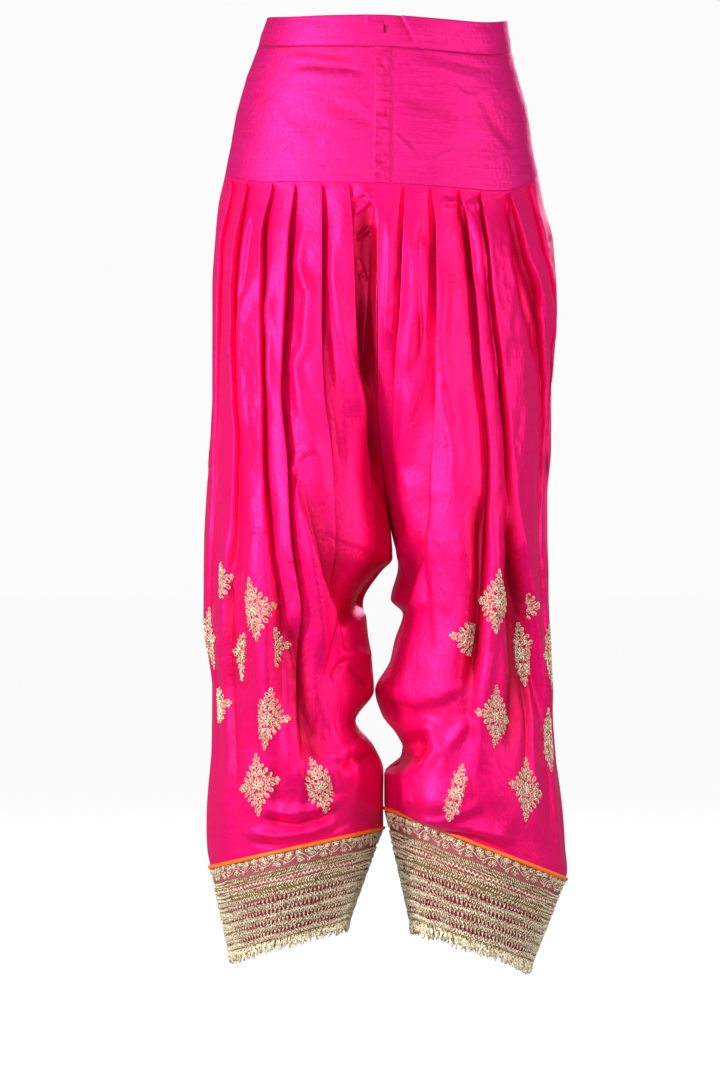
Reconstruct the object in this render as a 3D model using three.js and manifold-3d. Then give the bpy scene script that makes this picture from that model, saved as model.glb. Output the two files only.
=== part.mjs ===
// Pleated silk salwar: loose trousers hung from a flat hip yoke, with stiff gold border cuffs.
// Millimetres, +Z up, +X to the wearer's left, front towards -Y.
// The origin is the middle of the waist opening, at the height of the drawstring channel.
import * as THREE from 'three';
import Module from 'manifold-3d';
import { mergeVertices } from 'three/addons/utils/BufferGeometryUtils.js';

// Driving dimensions
const CLOTH = 1.8;
const WAISTBAND_WALL = 3;
const YOKE_WALL = 1.6;
const PLACKET_WALL = 1.2;
const CUFF_WALL = 2;
const PIPING_HEIGHT = 3.3;
const PIPING_DEPTH = 3;
const SEAM_GAP = 0.3;
const CROTCH_LEVEL = -520;
const HEM_LEVEL = -845;
const PLACKET_WIDTH = 15.7;
const SLIT_WIDTH = 1.2;
const SLIT_HEIGHT = 12;
const FRINGE_LENGTH = 8;
const FRINGE_STRANDS = 64;
const FRINGE_STRIP_HEIGHT = 2.4;
const FRINGE_STRIP_DEPTH = 1.2;
const BLOUSE_RISE = 2.8;

// Shares of a panel's width or height over which folds fade out at its edges
const CENTRE_FADE = 0.12;
const SIDE_FADE = 0.08;
const HEM_FADE = 0.06;
const BLOUSE_SHARE = 0.14;

// Mesh steps
const LEG_ROWS = 25;
const TOP_ROW_SHARE = 0.8;
const TOP_BEND_END = 0.3;
const HEM_BEND_START = 0.56;
const YOKE_COLUMNS = 10;
const YOKE_ROWS = 4;
const WAISTBAND_COLUMNS = 14;
const RING_COLUMNS = 36;
const CUFF_ROWS = 3;

// Sides of the body: the wearer's right is -1, the left is +1
const RIGHT = -1;
const LEFT = 1;

// Outline of each side: x of its outermost thread at each level
const OUTER_OUTLINE = {
  [RIGHT]: [
    { z: 20, x: -122 }, { z: -12, x: -132 }, { z: -45, x: -144 }, { z: -80, x: -154 },
    { z: -114, x: -160 }, { z: -148, x: -167 }, { z: -181, x: -174 }, { z: -215, x: -177 },
    { z: -265, x: -180 }, { z: -382, x: -180 }, { z: -432, x: -182 }, { z: -483, x: -186 },
    { z: -533, x: -188.5 }, { z: -610, x: -189 }, { z: -650, x: -184 }, { z: -684, x: -180 },
    { z: -767, x: -181 }, { z: -851, x: -184 }, { z: -870, x: -182 }, { z: -918, x: -169.6 },
    { z: -985, x: -156 },
  ],
  [LEFT]: [
    { z: 20, x: 129 }, { z: -12, x: 133 }, { z: -45, x: 141 }, { z: -80, x: 150 },
    { z: -114, x: 155 }, { z: -148, x: 162 }, { z: -181, x: 168 }, { z: -215, x: 177 },
    { z: -265, x: 180 }, { z: -315, x: 179 }, { z: -382, x: 175 }, { z: -432, x: 175 },
    { z: -483, x: 171 }, { z: -583, x: 171 }, { z: -650, x: 173.5 }, { z: -717, x: 177 },
    { z: -767, x: 181 }, { z: -851, x: 188 }, { z: -877, x: 191.6 }, { z: -901, x: 183 },
    { z: -935, x: 169.5 }, { z: -990, x: 148 },
  ],
};

// Inner outline of each leg below the crotch
const INNER_OUTLINE = {
  [RIGHT]: [
    { z: -520, x: 7.5 }, { z: -548, x: 9 }, { z: -563, x: -4 }, { z: -595, x: -22 },
    { z: -625, x: -19 }, { z: -660, x: -13 }, { z: -686, x: -10.4 }, { z: -718, x: -30 },
    { z: -744, x: -11 }, { z: -770, x: -0.7 }, { z: -828, x: -0.7 }, { z: -851, x: -7 },
    { z: -885, x: -19 }, { z: -918, x: -33 }, { z: -943, x: -41 }, { z: -985, x: -54 },
  ],
  [LEFT]: [
    { z: -520, x: 7.5 }, { z: -556, x: 14.7 }, { z: -591, x: 7 }, { z: -606, x: 20 },
    { z: -635, x: 11.5 }, { z: -656, x: 6 }, { z: -686, x: -9.4 }, { z: -712, x: -2 },
    { z: -744, x: 22 }, { z: -755, x: 21 }, { z: -772, x: 0.7 }, { z: -807, x: 0.8 },
    { z: -834, x: 7 }, { z: -868, x: 15 }, { z: -901, x: 23 }, { z: -935, x: 30 },
    { z: -990, x: 41 },
  ],
};

// Front and back of the sections, and x of the centre seam that both halves share
const DEPTHS = [
  { z: 20, front: -94, back: 103 }, { z: -12, front: -97, back: 106 },
  { z: -60, front: -104, back: 113 }, { z: -110, front: -110, back: 121 },
  { z: -160, front: -116, back: 128 }, { z: -230, front: -134, back: 146 },
  { z: -320, front: -150, back: 160 }, { z: -420, front: -158, back: 164 },
  { z: -520, front: -152, back: 156 }, { z: -620, front: -140, back: 142 },
  { z: -720, front: -124, back: 130 }, { z: -800, front: -106, back: 118 },
  { z: -850, front: -93, back: 108 }, { z: -985, front: -70, back: 82 },
];
const CENTRE_SEAM = [
  { z: 20, x: 0 }, { z: -150, x: -2 }, { z: -200, x: -5 }, { z: -290, x: -7 },
  { z: -380, x: -7 }, { z: -440, x: -3 }, { z: -520, x: 7.5 },
];

// How far each section has turned from half of the hips (0) into a leg of its own (1)
const LEG_SHARE = [
  { z: -150, share: 0 }, { z: -200, share: 0.02 }, { z: -280, share: 0.1 },
  { z: -360, share: 0.28 }, { z: -430, share: 0.55 }, { z: -480, share: 0.82 },
  { z: -520, share: 1 },
];

// Height of the cross seams: front centre, front quarter, side, back quarter, back centre
const WAIST_TOP = {
  [RIGHT]: { centre: 11, frontQuarter: 12.5, side: 18, backQuarter: 19, backCentre: 19 },
  [LEFT]: { centre: 11, frontQuarter: 7, side: 15, backQuarter: 18, backCentre: 19 },
};
const WAISTBAND_SEAM = {
  [RIGHT]: { centre: -22, frontQuarter: -18.5, side: -12, backQuarter: -12, backCentre: -13 },
  [LEFT]: { centre: -22, frontQuarter: -27, side: -18, backQuarter: -14, backCentre: -13 },
};
const YOKE_SEAM = {
  [RIGHT]: { centre: -163.5, frontQuarter: -160, side: -148, backQuarter: -152, backCentre: -158 },
  [LEFT]: { centre: -163.5, frontQuarter: -169.5, side: -145, backQuarter: -152, backCentre: -158 },
};

// Slanting seams of the cuffs, at the inner and the outer side of each leg
const CUFF_TOP = {
  [RIGHT]: { inner: -829, outer: -870 },
  [LEFT]: { inner: -808, outer: -883 },
};
const CUFF_BOTTOM = {
  [RIGHT]: { inner: -934, outer: -969 },
  [LEFT]: { inner: -936, outer: -976 },
};

// Knife pleats from the yoke seam down: distance of each fold line from the body's middle
// and depth of the fold at the fold levels
const FOLD_LEVELS = [-165, -220, -290, -370, -450, -530, -610, -700, -790, -850];
const FOLDS = {
  [RIGHT]: {
    front: [
      { out: [37, 34, 31, 22, 14, 12, 34, 44, 28, 26], depth: [3, 6, 8, 9, 7, 4, 0, 0, 0, 0] },
      { out: [65, 66, 66, 63, 51, 46, 50, 62, 50, 48], depth: [3, 8, 9, 9, 8, 7, 3, 0, 0, 0] },
      { out: [93, 101, 104, 108, 100, 94, 82, 84, 80, 78], depth: [3, 9, 10, 9, 9, 9, 7, 4, 2, 0] },
      { out: [116, 129, 129, 126, 125, 117, 106, 106, 108, 106], depth: [3, 8, 7, 7, 8, 8, 8, 5, 3, 0] },
      { out: [143, 155, 160, 156, 155, 156, 162, 158, 150, 150], depth: [3, 7, 7, 6, 5, 6, 5, 4, 2, 0] },
      { out: [159, 171, 174, 174, 176, 180, 182, 174, 174, 176], depth: [3, 4, 4, 3, 3, 3, 3, 2, 0, 0] },
    ],
    back: [
      { out: [26, 25, 24, 20, 16, 14, 36, 46, 30, 28], depth: [3, 6, 8, 8, 6, 3, 0, 0, 0, 0] },
      { out: [52, 55, 57, 55, 50, 48, 58, 66, 56, 52], depth: [3, 8, 9, 9, 8, 6, 4, 2, 0, 0] },
      { out: [79, 86, 92, 96, 93, 90, 86, 88, 84, 80], depth: [3, 9, 9, 9, 9, 8, 7, 4, 3, 0] },
      { out: [105, 115, 120, 124, 122, 118, 114, 112, 110, 108], depth: [3, 8, 8, 8, 8, 8, 6, 5, 2, 0] },
      { out: [130, 143, 150, 152, 150, 150, 150, 144, 140, 138], depth: [3, 7, 8, 7, 6, 5, 4, 3, 2, 0] },
      { out: [151, 165, 171, 172, 174, 176, 176, 170, 170, 172], depth: [3, 5, 4, 4, 3, 3, 2, 1, 0, 0] },
    ],
  },
  [LEFT]: {
    front: [
      { out: [22, 20, 17, 9, 6, 18, 34, 16, 24, 30], depth: [3, 8, 9, 8, 5, 2, 0, 0, 0, 0] },
      { out: [49, 55, 54, 54, 48, 40, 50, 46, 50, 54], depth: [3, 8, 9, 8, 8, 8, 5, 3, 2, 0] },
      { out: [77, 91, 97, 103, 109, 106, 96, 88, 90, 92], depth: [3, 9, 10, 9, 9, 9, 7, 5, 4, 0] },
      { out: [99, 107, 114, 124, 130, 136, 148, 150, 144, 142], depth: [3, 9, 10, 9, 8, 7, 6, 5, 3, 0] },
      { out: [129, 144, 163, 168, 166, 160, 164, 167, 170, 174], depth: [3, 9, 8, 5, 3, 2, 3, 2, 2, 0] },
      { out: [153, 166, 175, 174, 172, 169, 171, 174, 180, 186], depth: [3, 4, 3, 2, 2, 2, 2, 1, 0, 0] },
    ],
    back: [
      { out: [24, 23, 20, 14, 12, 22, 36, 22, 28, 32], depth: [3, 7, 8, 8, 5, 2, 0, 0, 0, 0] },
      { out: [50, 56, 58, 56, 52, 50, 56, 50, 54, 56], depth: [3, 8, 9, 9, 8, 7, 5, 3, 0, 0] },
      { out: [77, 88, 94, 98, 100, 98, 92, 86, 86, 88], depth: [3, 9, 9, 9, 8, 8, 6, 5, 3, 0] },
      { out: [101, 114, 122, 126, 126, 126, 124, 120, 120, 122], depth: [3, 8, 9, 8, 8, 6, 6, 4, 3, 0] },
      { out: [126, 143, 153, 154, 152, 148, 146, 146, 150, 152], depth: [3, 8, 7, 6, 5, 5, 4, 4, 2, 0] },
      { out: [149, 166, 173, 171, 169, 166, 166, 170, 174, 178], depth: [3, 5, 4, 3, 3, 2, 2, 1, 0, 0] },
    ],
  },
};

// One pleat across, from its fold line outwards: share of the way and height in fold depths
const PLEAT_PROFILE = [
  { at: 0, height: -1 },
  { at: 0.22, height: 0.15 },
  { at: 0.6, height: -0.1 },
];
const SMALLEST_FOLD_SPACING = 0.028;

// Swags of slack cloth: place on the front or back, half sizes and how far they stand out.
// The lower half falls away at the steepness given, so a swag can hang over its lower edge.
const SWAGS = [
  { side: RIGHT, face: 'front', out: 22, z: -540, width: 44, height: 55, rise: 9, steep: 2.4 },
  { side: RIGHT, face: 'front', out: 60, z: -770, width: 60, height: 48, rise: 7, steep: 1.4 },
  { side: LEFT, face: 'front', out: 36, z: -685, width: 42, height: 60, rise: 10, steep: 1.3 },
  { side: LEFT, face: 'front', out: 62, z: -792, width: 48, height: 34, rise: 10, steep: 1.8 },
  { side: RIGHT, face: 'back', out: 60, z: -640, width: 60, height: 60, rise: 9, steep: 1.6 },
  { side: RIGHT, face: 'back', out: 90, z: -790, width: 64, height: 40, rise: 8, steep: 1.6 },
  { side: LEFT, face: 'back', out: 64, z: -650, width: 60, height: 62, rise: 9, steep: 1.6 },
  { side: LEFT, face: 'back', out: 96, z: -780, width: 64, height: 40, rise: 8, steep: 1.6 },
];

// Smooth curve through rows of a table, without overshoot
function curveThrough(rows, from, to) {
  const points = rows.map((row) => [row[from], row[to]]).sort((a, b) => a[0] - b[0]);
  const last = points.length - 1;
  const slopes = [];
  for (let i = 0; i < last; i += 1) {
    slopes.push((points[i + 1][1] - points[i][1]) / (points[i + 1][0] - points[i][0]));
  }
  const tangents = points.map((point, i) => {
    if (i === 0) {
      return slopes[0];
    }
    if (i === last) {
      return slopes[last - 1];
    }
    if (slopes[i - 1] * slopes[i] <= 0) {
      return 0;
    }
    return (2 * slopes[i - 1] * slopes[i]) / (slopes[i - 1] + slopes[i]);
  });
  return (value) => {
    const x = THREE.MathUtils.clamp(value, points[0][0], points[last][0]);
    let i = 0;
    while (i < last - 1 && x > points[i + 1][0]) {
      i += 1;
    }
    const step = points[i + 1][0] - points[i][0];
    const t = (x - points[i][0]) / step;
    const s = 1 - t;
    return (1 + 2 * t) * s * s * points[i][1]
      + t * s * s * step * tangents[i]
      + t * t * (3 - 2 * t) * points[i + 1][1]
      - t * t * s * step * tangents[i + 1];
  };
}

const outerAt = {};
const innerAt = {};
for (const side of [RIGHT, LEFT]) {
  outerAt[side] = curveThrough(OUTER_OUTLINE[side], 'z', 'x');
  innerAt[side] = curveThrough(INNER_OUTLINE[side], 'z', 'x');
}
const frontAt = curveThrough(DEPTHS, 'z', 'front');
const backAt = curveThrough(DEPTHS, 'z', 'back');
const seamAt = curveThrough(CENTRE_SEAM, 'z', 'x');
const legShareAt = curveThrough(LEG_SHARE, 'z', 'share');

// A cross seam's height, where u runs from the front centre (0) by the side (0.5) to the back
// centre (1)
function crossSeam(heights) {
  return curveThrough([
    { u: 0, z: heights.centre }, { u: 0.25, z: heights.frontQuarter }, { u: 0.5, z: heights.side },
    { u: 0.75, z: heights.backQuarter }, { u: 1, z: heights.backCentre },
  ], 'u', 'z');
}
const waistTop = { [RIGHT]: crossSeam(WAIST_TOP[RIGHT]), [LEFT]: crossSeam(WAIST_TOP[LEFT]) };
const bandSeam = {
  [RIGHT]: crossSeam(WAISTBAND_SEAM[RIGHT]),
  [LEFT]: crossSeam(WAISTBAND_SEAM[LEFT]),
};
const yokeSeam = { [RIGHT]: crossSeam(YOKE_SEAM[RIGHT]), [LEFT]: crossSeam(YOKE_SEAM[LEFT]) };

// Height of a slanting cuff seam, from the leg's inner side round to its outer side
function slantingSeam(ends, u) {
  const outwards = (1 - Math.cos(2 * Math.PI * u)) / 2;
  return THREE.MathUtils.lerp(ends.inner, ends.outer, outwards);
}

// Plane between the two legs that neither leg crosses
function dividerAt(z) {
  if (z >= CROTCH_LEVEL) {
    return seamAt(z);
  }
  return (innerAt[RIGHT](z) + innerAt[LEFT](z)) / 2;
}

// Point of the smooth body: half an oval round the hips, which turns into a closed oval
// round the leg below the crotch
function bodyPoint(side, u, z) {
  const outer = outerAt[side](z);
  const seam = seamAt(z);
  const inner = z >= CROTCH_LEVEL ? seam : innerAt[side](z);
  const share = legShareAt(z);
  const middle = (frontAt(z) + backAt(z)) / 2;
  const halfDepth = (backAt(z) - frontAt(z)) / 2;
  const hipX = seam + (outer - seam) * Math.sin(Math.PI * u);
  const hipY = middle - halfDepth * Math.cos(Math.PI * u);
  const legX = (outer + inner) / 2 - ((outer - inner) / 2) * Math.cos(2 * Math.PI * u);
  const legY = middle - halfDepth * Math.sin(2 * Math.PI * u);
  return new THREE.Vector3(
    THREE.MathUtils.lerp(hipX, legX, share),
    THREE.MathUtils.lerp(hipY, legY, share),
    z,
  );
}

// Level outward direction at a point of the smooth body
function outwards(side, u, z) {
  const step = 0.004;
  const before = bodyPoint(side, Math.max(u - step, 0), z);
  const after = bodyPoint(side, Math.min(u + step, 1), z);
  const along = after.sub(before);
  return new THREE.Vector3(along.y * side, -along.x * side, 0).normalize();
}

// Share u of the front half at which the body lies a given distance out from the middle
function shareAtDistance(side, distance, z) {
  let low = 0;
  let high = 0.5;
  for (let i = 0; i < 24; i += 1) {
    const half = (low + high) / 2;
    if (bodyPoint(side, half, z).x * side < distance) {
      low = half;
    } else {
      high = half;
    }
  }
  return (low + high) / 2;
}

// Smooth tables of the fold lines
const foldCurves = {};
for (const side of [RIGHT, LEFT]) {
  foldCurves[side] = {};
  for (const face of ['front', 'back']) {
    foldCurves[side][face] = FOLDS[side][face].map((fold) => {
      const rows = FOLD_LEVELS.map((z, i) => ({ z, out: fold.out[i], depth: fold.depth[i] }));
      return { out: curveThrough(rows, 'z', 'out'), depth: curveThrough(rows, 'z', 'depth') };
    });
  }
}

// Fold lines of one panel at a level, from its centre edge to its side edge: share u and depth
function foldLines(side, face, z) {
  const folds = foldCurves[side][face];
  const lines = [{ u: 0, depth: 0 }];
  for (const fold of folds) {
    const previous = lines[lines.length - 1].u;
    const u = shareAtDistance(side, fold.out(z), z);
    lines.push({ u: Math.max(u, previous + SMALLEST_FOLD_SPACING), depth: fold.depth(z) });
  }
  const widest = 0.5 - SMALLEST_FOLD_SPACING;
  for (let i = lines.length - 1; i > 0; i -= 1) {
    lines[i].u = Math.min(lines[i].u, widest - SMALLEST_FOLD_SPACING * (lines.length - 1 - i));
  }
  lines.push({ u: 0.5, depth: 0 });
  return lines;
}

// Rise of the slack swags at a point
function swagRise(side, face, distance, z) {
  let rise = 0;
  for (const swag of SWAGS) {
    if (swag.side === side && swag.face === face) {
      const across = (distance - swag.out) / swag.width;
      const below = z < swag.z ? swag.steep : 1;
      const along = ((z - swag.z) / swag.height) * below;
      rise += swag.rise * Math.exp(-1.6 * (across * across + along * along));
    }
  }
  return rise;
}

// Rows of a leg: level at the front centre, bent at the top to follow the yoke seam and
// at the bottom to follow the cuff seam
const legTop = YOKE_SEAM[LEFT].centre - SEAM_GAP;
function legRowHeight(side, u, row) {
  const down = row / LEG_ROWS;
  const eased = down * (TOP_ROW_SHARE + (1 - TOP_ROW_SHARE) * down);
  const level = THREE.MathUtils.lerp(legTop, HEM_LEVEL, eased);
  const topBend = yokeSeam[side](u) - YOKE_SEAM[side].centre;
  const hemBend = slantingSeam(CUFF_TOP[side], u) + SEAM_GAP - HEM_LEVEL;
  const topShare = 1 - THREE.MathUtils.smoothstep(down, 0, TOP_BEND_END);
  const hemShare = THREE.MathUtils.smoothstep(down, HEM_BEND_START, 1);
  return level + topBend * topShare + hemBend * hemShare;
}

// Grid of outer points of one leg panel, pleats and swags included
function legPanelGrid(side, face) {
  const flip = face === 'back';
  const grid = [];
  for (let row = 0; row <= LEG_ROWS; row += 1) {
    const down = row / LEG_ROWS;
    const points = [];
    const pleats = FOLDS[side][face].length + 1;
    for (let column = 0; column <= pleats * PLEAT_PROFILE.length; column += 1) {
      const pleat = Math.floor(column / PLEAT_PROFILE.length);
      const place = PLEAT_PROFILE[column % PLEAT_PROFILE.length];
      const uGuess = flip ? 1 - (0.5 * pleat) / pleats : (0.5 * pleat) / pleats;
      let z = legRowHeight(side, uGuess, row);
      let u = 0;
      let depth = 0;
      for (let pass = 0; pass < 2; pass += 1) {
        const lines = foldLines(side, face, z);
        const here = lines[pleat];
        const next = lines[Math.min(pleat + 1, pleats)];
        u = THREE.MathUtils.lerp(here.u, next.u, place.at);
        depth = THREE.MathUtils.lerp(here.depth, next.depth, place.at);
        z = legRowHeight(side, flip ? 1 - u : u, row);
      }
      const share = flip ? 1 - u : u;
      const point = bodyPoint(side, share, z);
      const fade = THREE.MathUtils.smoothstep(u, 0, CENTRE_FADE / 2);
      const edges = fade * THREE.MathUtils.smoothstep(0.5 - u, 0, SIDE_FADE / 2);
      const hemFade = THREE.MathUtils.smoothstep(1 - down, 0, HEM_FADE);
      const nearHem = THREE.MathUtils.clamp((down - 1 + BLOUSE_SHARE) / BLOUSE_SHARE, 0, 1);
      const blouse = BLOUSE_RISE * Math.sin(Math.PI * nearHem);
      const swag = swagRise(side, face, point.x * side, z) * hemFade;
      const rise = (depth * place.height + swag) * edges + blouse * fade;
      point.addScaledVector(outwards(side, share, z), rise);
      points.push(point);
    }
    grid.push(points);
  }
  return grid;
}

// Outward directions of a grid of points, from their neighbours
function gridNormals(grid, side, closed) {
  const rows = grid.length;
  return grid.map((points, row) => points.map((point, column) => {
    const count = points.length;
    const left = closed ? (column + count - 1) % count : Math.max(column - 1, 0);
    const right = closed ? (column + 1) % count : Math.min(column + 1, count - 1);
    const along = points[right].clone().sub(points[left]);
    const down = grid[Math.min(row + 1, rows - 1)][column].clone()
      .sub(grid[Math.max(row - 1, 0)][column]);
    return down.cross(along).multiplyScalar(side).normalize();
  }));
}

// Solid wall between a grid of outer points and a grid of inner points
function wallGeometry(outer, inner, closed) {
  const rows = outer.length;
  const columns = outer[0].length;
  const positions = [];
  for (const grid of [outer, inner]) {
    for (const points of grid) {
      for (const point of points) {
        positions.push(point.x, point.y, point.z);
      }
    }
  }
  const triangles = [];
  const outerIndex = (row, column) => row * columns + (column % columns);
  const innerIndex = (row, column) => rows * columns + outerIndex(row, column);
  const quad = (a, b, c, d) => triangles.push(a, b, c, a, c, d);
  const steps = closed ? columns : columns - 1;
  for (let column = 0; column < steps; column += 1) {
    for (let row = 0; row < rows - 1; row += 1) {
      quad(outerIndex(row, column), outerIndex(row + 1, column),
        outerIndex(row + 1, column + 1), outerIndex(row, column + 1));
      quad(innerIndex(row, column), innerIndex(row, column + 1),
        innerIndex(row + 1, column + 1), innerIndex(row + 1, column));
    }
    quad(outerIndex(0, column), outerIndex(0, column + 1),
      innerIndex(0, column + 1), innerIndex(0, column));
    quad(outerIndex(rows - 1, column + 1), outerIndex(rows - 1, column),
      innerIndex(rows - 1, column), innerIndex(rows - 1, column + 1));
  }
  if (!closed) {
    for (let row = 0; row < rows - 1; row += 1) {
      quad(outerIndex(row + 1, 0), outerIndex(row, 0), innerIndex(row, 0), innerIndex(row + 1, 0));
      quad(outerIndex(row, steps), outerIndex(row + 1, steps),
        innerIndex(row + 1, steps), innerIndex(row, steps));
    }
  }
  return closedGeometry(positions, triangles);
}

// Geometry of a closed mesh, turned so that its faces point out
function closedGeometry(positions, triangles) {
  const corner = (index) => new THREE.Vector3().fromArray(positions, 3 * index);
  let volume = 0;
  for (let i = 0; i < triangles.length; i += 3) {
    volume += corner(triangles[i]).dot(corner(triangles[i + 1]).cross(corner(triangles[i + 2])));
  }
  if (volume < 0) {
    triangles.reverse();
  }
  const geometry = new THREE.BufferGeometry();
  geometry.setAttribute('position', new THREE.Float32BufferAttribute(positions, 3));
  geometry.setIndex(triangles);
  geometry.computeVertexNormals();
  return geometry;
}

// Inner points of a wall, one thickness inside the outer points
function insidePoints(grid, normals, thickness) {
  return grid.map((points, row) => points.map(
    (point, column) => point.clone().addScaledVector(normals[row][column], -thickness),
  ));
}

// One leg panel: the edge at the side seam and the edges at the centre and inner leg seams
// keep half a seam gap to their neighbours
function legPanel(side, face) {
  const facing = face === 'front' ? -1 : 1;
  const turn = face === 'front' ? side : -side;
  const outer = legPanelGrid(side, face);
  const half = SEAM_GAP / 2;
  const last = outer[0].length - 1;
  for (const points of outer) {
    points.forEach((point) => {
      const limit = dividerAt(point.z) * side + half;
      point.x = Math.max(point.x * side, limit) * side;
    });
    points[0].y += facing * half;
    points[last].y += facing * half;
  }
  const normals = gridNormals(outer, turn, false);
  const inner = insidePoints(outer, normals, CLOTH);
  inner.forEach((points, row) => {
    points[last].y = outer[row][last].y;
    points.forEach((point, column) => {
      const limit = dividerAt(point.z) * side + half;
      point.x = Math.max(point.x * side, limit) * side;
      if (row === 0 || row === LEG_ROWS) {
        point.z = outer[row][column].z;
      }
    });
    if (outer[row][0].z < CROTCH_LEVEL) {
      points[0].y = outer[row][0].y;
    }
  });
  return wallGeometry(outer, inner, false);
}

// Level rings between two cross seams, over shares u0 to u1 of one side
function stripGrid(side, topSeam, bottomSeam, shares, rows, gapTop, gapBottom, out) {
  const grid = [];
  for (let row = 0; row <= rows; row += 1) {
    grid.push(shares.map((u) => {
      const z = THREE.MathUtils.lerp(
        topSeam[side](u) - gapTop,
        bottomSeam[side](u) + gapBottom,
        row / rows,
      );
      return bodyPoint(side, u, z).addScaledVector(outwards(side, u, z), out);
    }));
  }
  return grid;
}

function evenShares(from, to, steps) {
  return Array.from({ length: steps + 1 }, (_, i) => from + ((to - from) * i) / steps);
}

// Ring grid over both sides: the left from front to back, then the right from back to front
function ringGrid(makeStrip) {
  const left = makeStrip(LEFT, evenShares(0, 1, WAISTBAND_COLUMNS));
  const right = makeStrip(RIGHT, evenShares(1, 0, WAISTBAND_COLUMNS));
  return left.map((points, row) => [...points.slice(0, -1), ...right[row].slice(0, -1)]);
}

// Waistband: a folded channel for the drawstring, with an upright slit cut in its front
const wasm = await Module();
wasm.setup();

function asSolid(geometry) {
  const bare = new THREE.BufferGeometry();
  bare.setAttribute('position', geometry.getAttribute('position').clone());
  bare.setIndex(geometry.getIndex().clone());
  const merged = mergeVertices(bare, 1e-4);
  return new wasm.Manifold(new wasm.Mesh({
    numProp: 3,
    vertProperties: new Float32Array(merged.getAttribute('position').array),
    triVerts: new Uint32Array(merged.getIndex().array),
  }));
}

function asGeometry(solid) {
  const mesh = solid.getMesh();
  const geometry = new THREE.BufferGeometry();
  geometry.setAttribute('position', new THREE.Float32BufferAttribute(mesh.vertProperties, 3));
  geometry.setIndex(new THREE.Uint32BufferAttribute(mesh.triVerts, 1));
  geometry.computeVertexNormals();
  return geometry;
}

function waistband() {
  const outer = ringGrid((side, shares) => stripGrid(
    side, waistTop, bandSeam, shares, 2, 0, SEAM_GAP / 2, 0,
  ));
  const inner = insidePoints(outer, gridNormals(outer, LEFT, true), WAISTBAND_WALL);
  inner.forEach((points, row) => points.forEach((point, column) => {
    point.z = outer[row][column].z;
  }));
  const ring = wallGeometry(outer, inner, true);
  const slitCentre = (WAIST_TOP[LEFT].centre + WAISTBAND_SEAM[LEFT].centre) / 2;
  const slit = new THREE.BoxGeometry(SLIT_WIDTH, 6 * WAISTBAND_WALL, SLIT_HEIGHT);
  slit.translate(seamAt(slitCentre), frontAt(slitCentre), slitCentre);
  return asGeometry(asSolid(ring).subtract(asSolid(slit)));
}

// Yoke: two fronts that meet under the placket strip, and one back
function yokeFront(side) {
  const grid = stripGrid(
    side, bandSeam, yokeSeam, evenShares(0, 0.5, YOKE_COLUMNS), YOKE_ROWS,
    SEAM_GAP / 2, SEAM_GAP / 2, 0,
  );
  const last = YOKE_COLUMNS;
  const half = SEAM_GAP / 2;
  const inner = insidePoints(grid, gridNormals(grid, side, false), YOKE_WALL);
  for (const wall of [grid, inner]) {
    wall.forEach((points, row) => {
      points[0].x = seamAt(points[0].z) + side * half;
      points[last].y = grid[row][last].y;
    });
  }
  grid.forEach((points, row) => {
    points[last].y -= half;
    inner[row][last].y -= half;
    points.forEach((point, column) => {
      inner[row][column].z = point.z;
    });
    inner[row][0].x = grid[row][0].x;
  });
  return wallGeometry(grid, inner, false);
}

function yokeBack() {
  const half = SEAM_GAP / 2;
  const strip = (side, shares) => stripGrid(
    side, bandSeam, yokeSeam, shares, YOKE_ROWS, half, half, 0,
  );
  const left = strip(LEFT, evenShares(0.5, 1, YOKE_COLUMNS));
  const right = strip(RIGHT, evenShares(1, 0.5, YOKE_COLUMNS));
  const grid = left.map((points, row) => [...points, ...right[row].slice(1)]);
  const inner = insidePoints(grid, gridNormals(grid, LEFT, false), YOKE_WALL);
  grid.forEach((points, row) => {
    points.forEach((point, column) => {
      inner[row][column].z = point.z;
    });
    for (const column of [0, points.length - 1]) {
      points[column].y += half;
      inner[row][column].y = points[column].y;
    }
  });
  return wallGeometry(grid, inner, false);
}

// Placket strip stitched over the centre front of the yoke
function placketStrip() {
  const halfShare = shareAtDistance(LEFT, PLACKET_WIDTH / 2, -90);
  const build = (out) => {
    const strip = (side, shares) => stripGrid(
      side, bandSeam, yokeSeam, shares, YOKE_ROWS, SEAM_GAP / 2, SEAM_GAP / 2, out,
    );
    const left = strip(LEFT, evenShares(0, halfShare, 2));
    const right = strip(RIGHT, evenShares(halfShare, 0, 2));
    return right.map((points, row) => [...points, ...left[row].slice(1)]);
  };
  return wallGeometry(build(SEAM_GAP + PLACKET_WALL), build(SEAM_GAP), false);
}

// Ring round a leg between two slanting seams, at a given distance outside the body
function cuffGrid(side, topDrop, bottomDrop, rows, out) {
  const shares = evenShares(0, 1, RING_COLUMNS).slice(0, -1);
  const grid = [];
  for (let row = 0; row <= rows; row += 1) {
    grid.push(shares.map((u) => {
      const top = slantingSeam(CUFF_TOP[side], u);
      const bottom = slantingSeam(CUFF_BOTTOM[side], u);
      const high = top - topDrop;
      const low = bottomDrop === null ? bottom : top - bottomDrop;
      const z = THREE.MathUtils.lerp(high, low, row / rows);
      const start = bodyPoint(side, u, top);
      const end = bodyPoint(side, u, bottom);
      const share = (top - z) / (top - bottom);
      const point = start.lerp(end, share);
      return point.addScaledVector(outwards(side, u, z), out);
    }));
  }
  return grid;
}

function cuff(side) {
  const drop = PIPING_HEIGHT + SEAM_GAP;
  const outer = cuffGrid(side, drop, null, CUFF_ROWS, 0);
  const inner = cuffGrid(side, drop, null, CUFF_ROWS, -CUFF_WALL);
  return wallGeometry(outer, inner, true);
}

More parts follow.
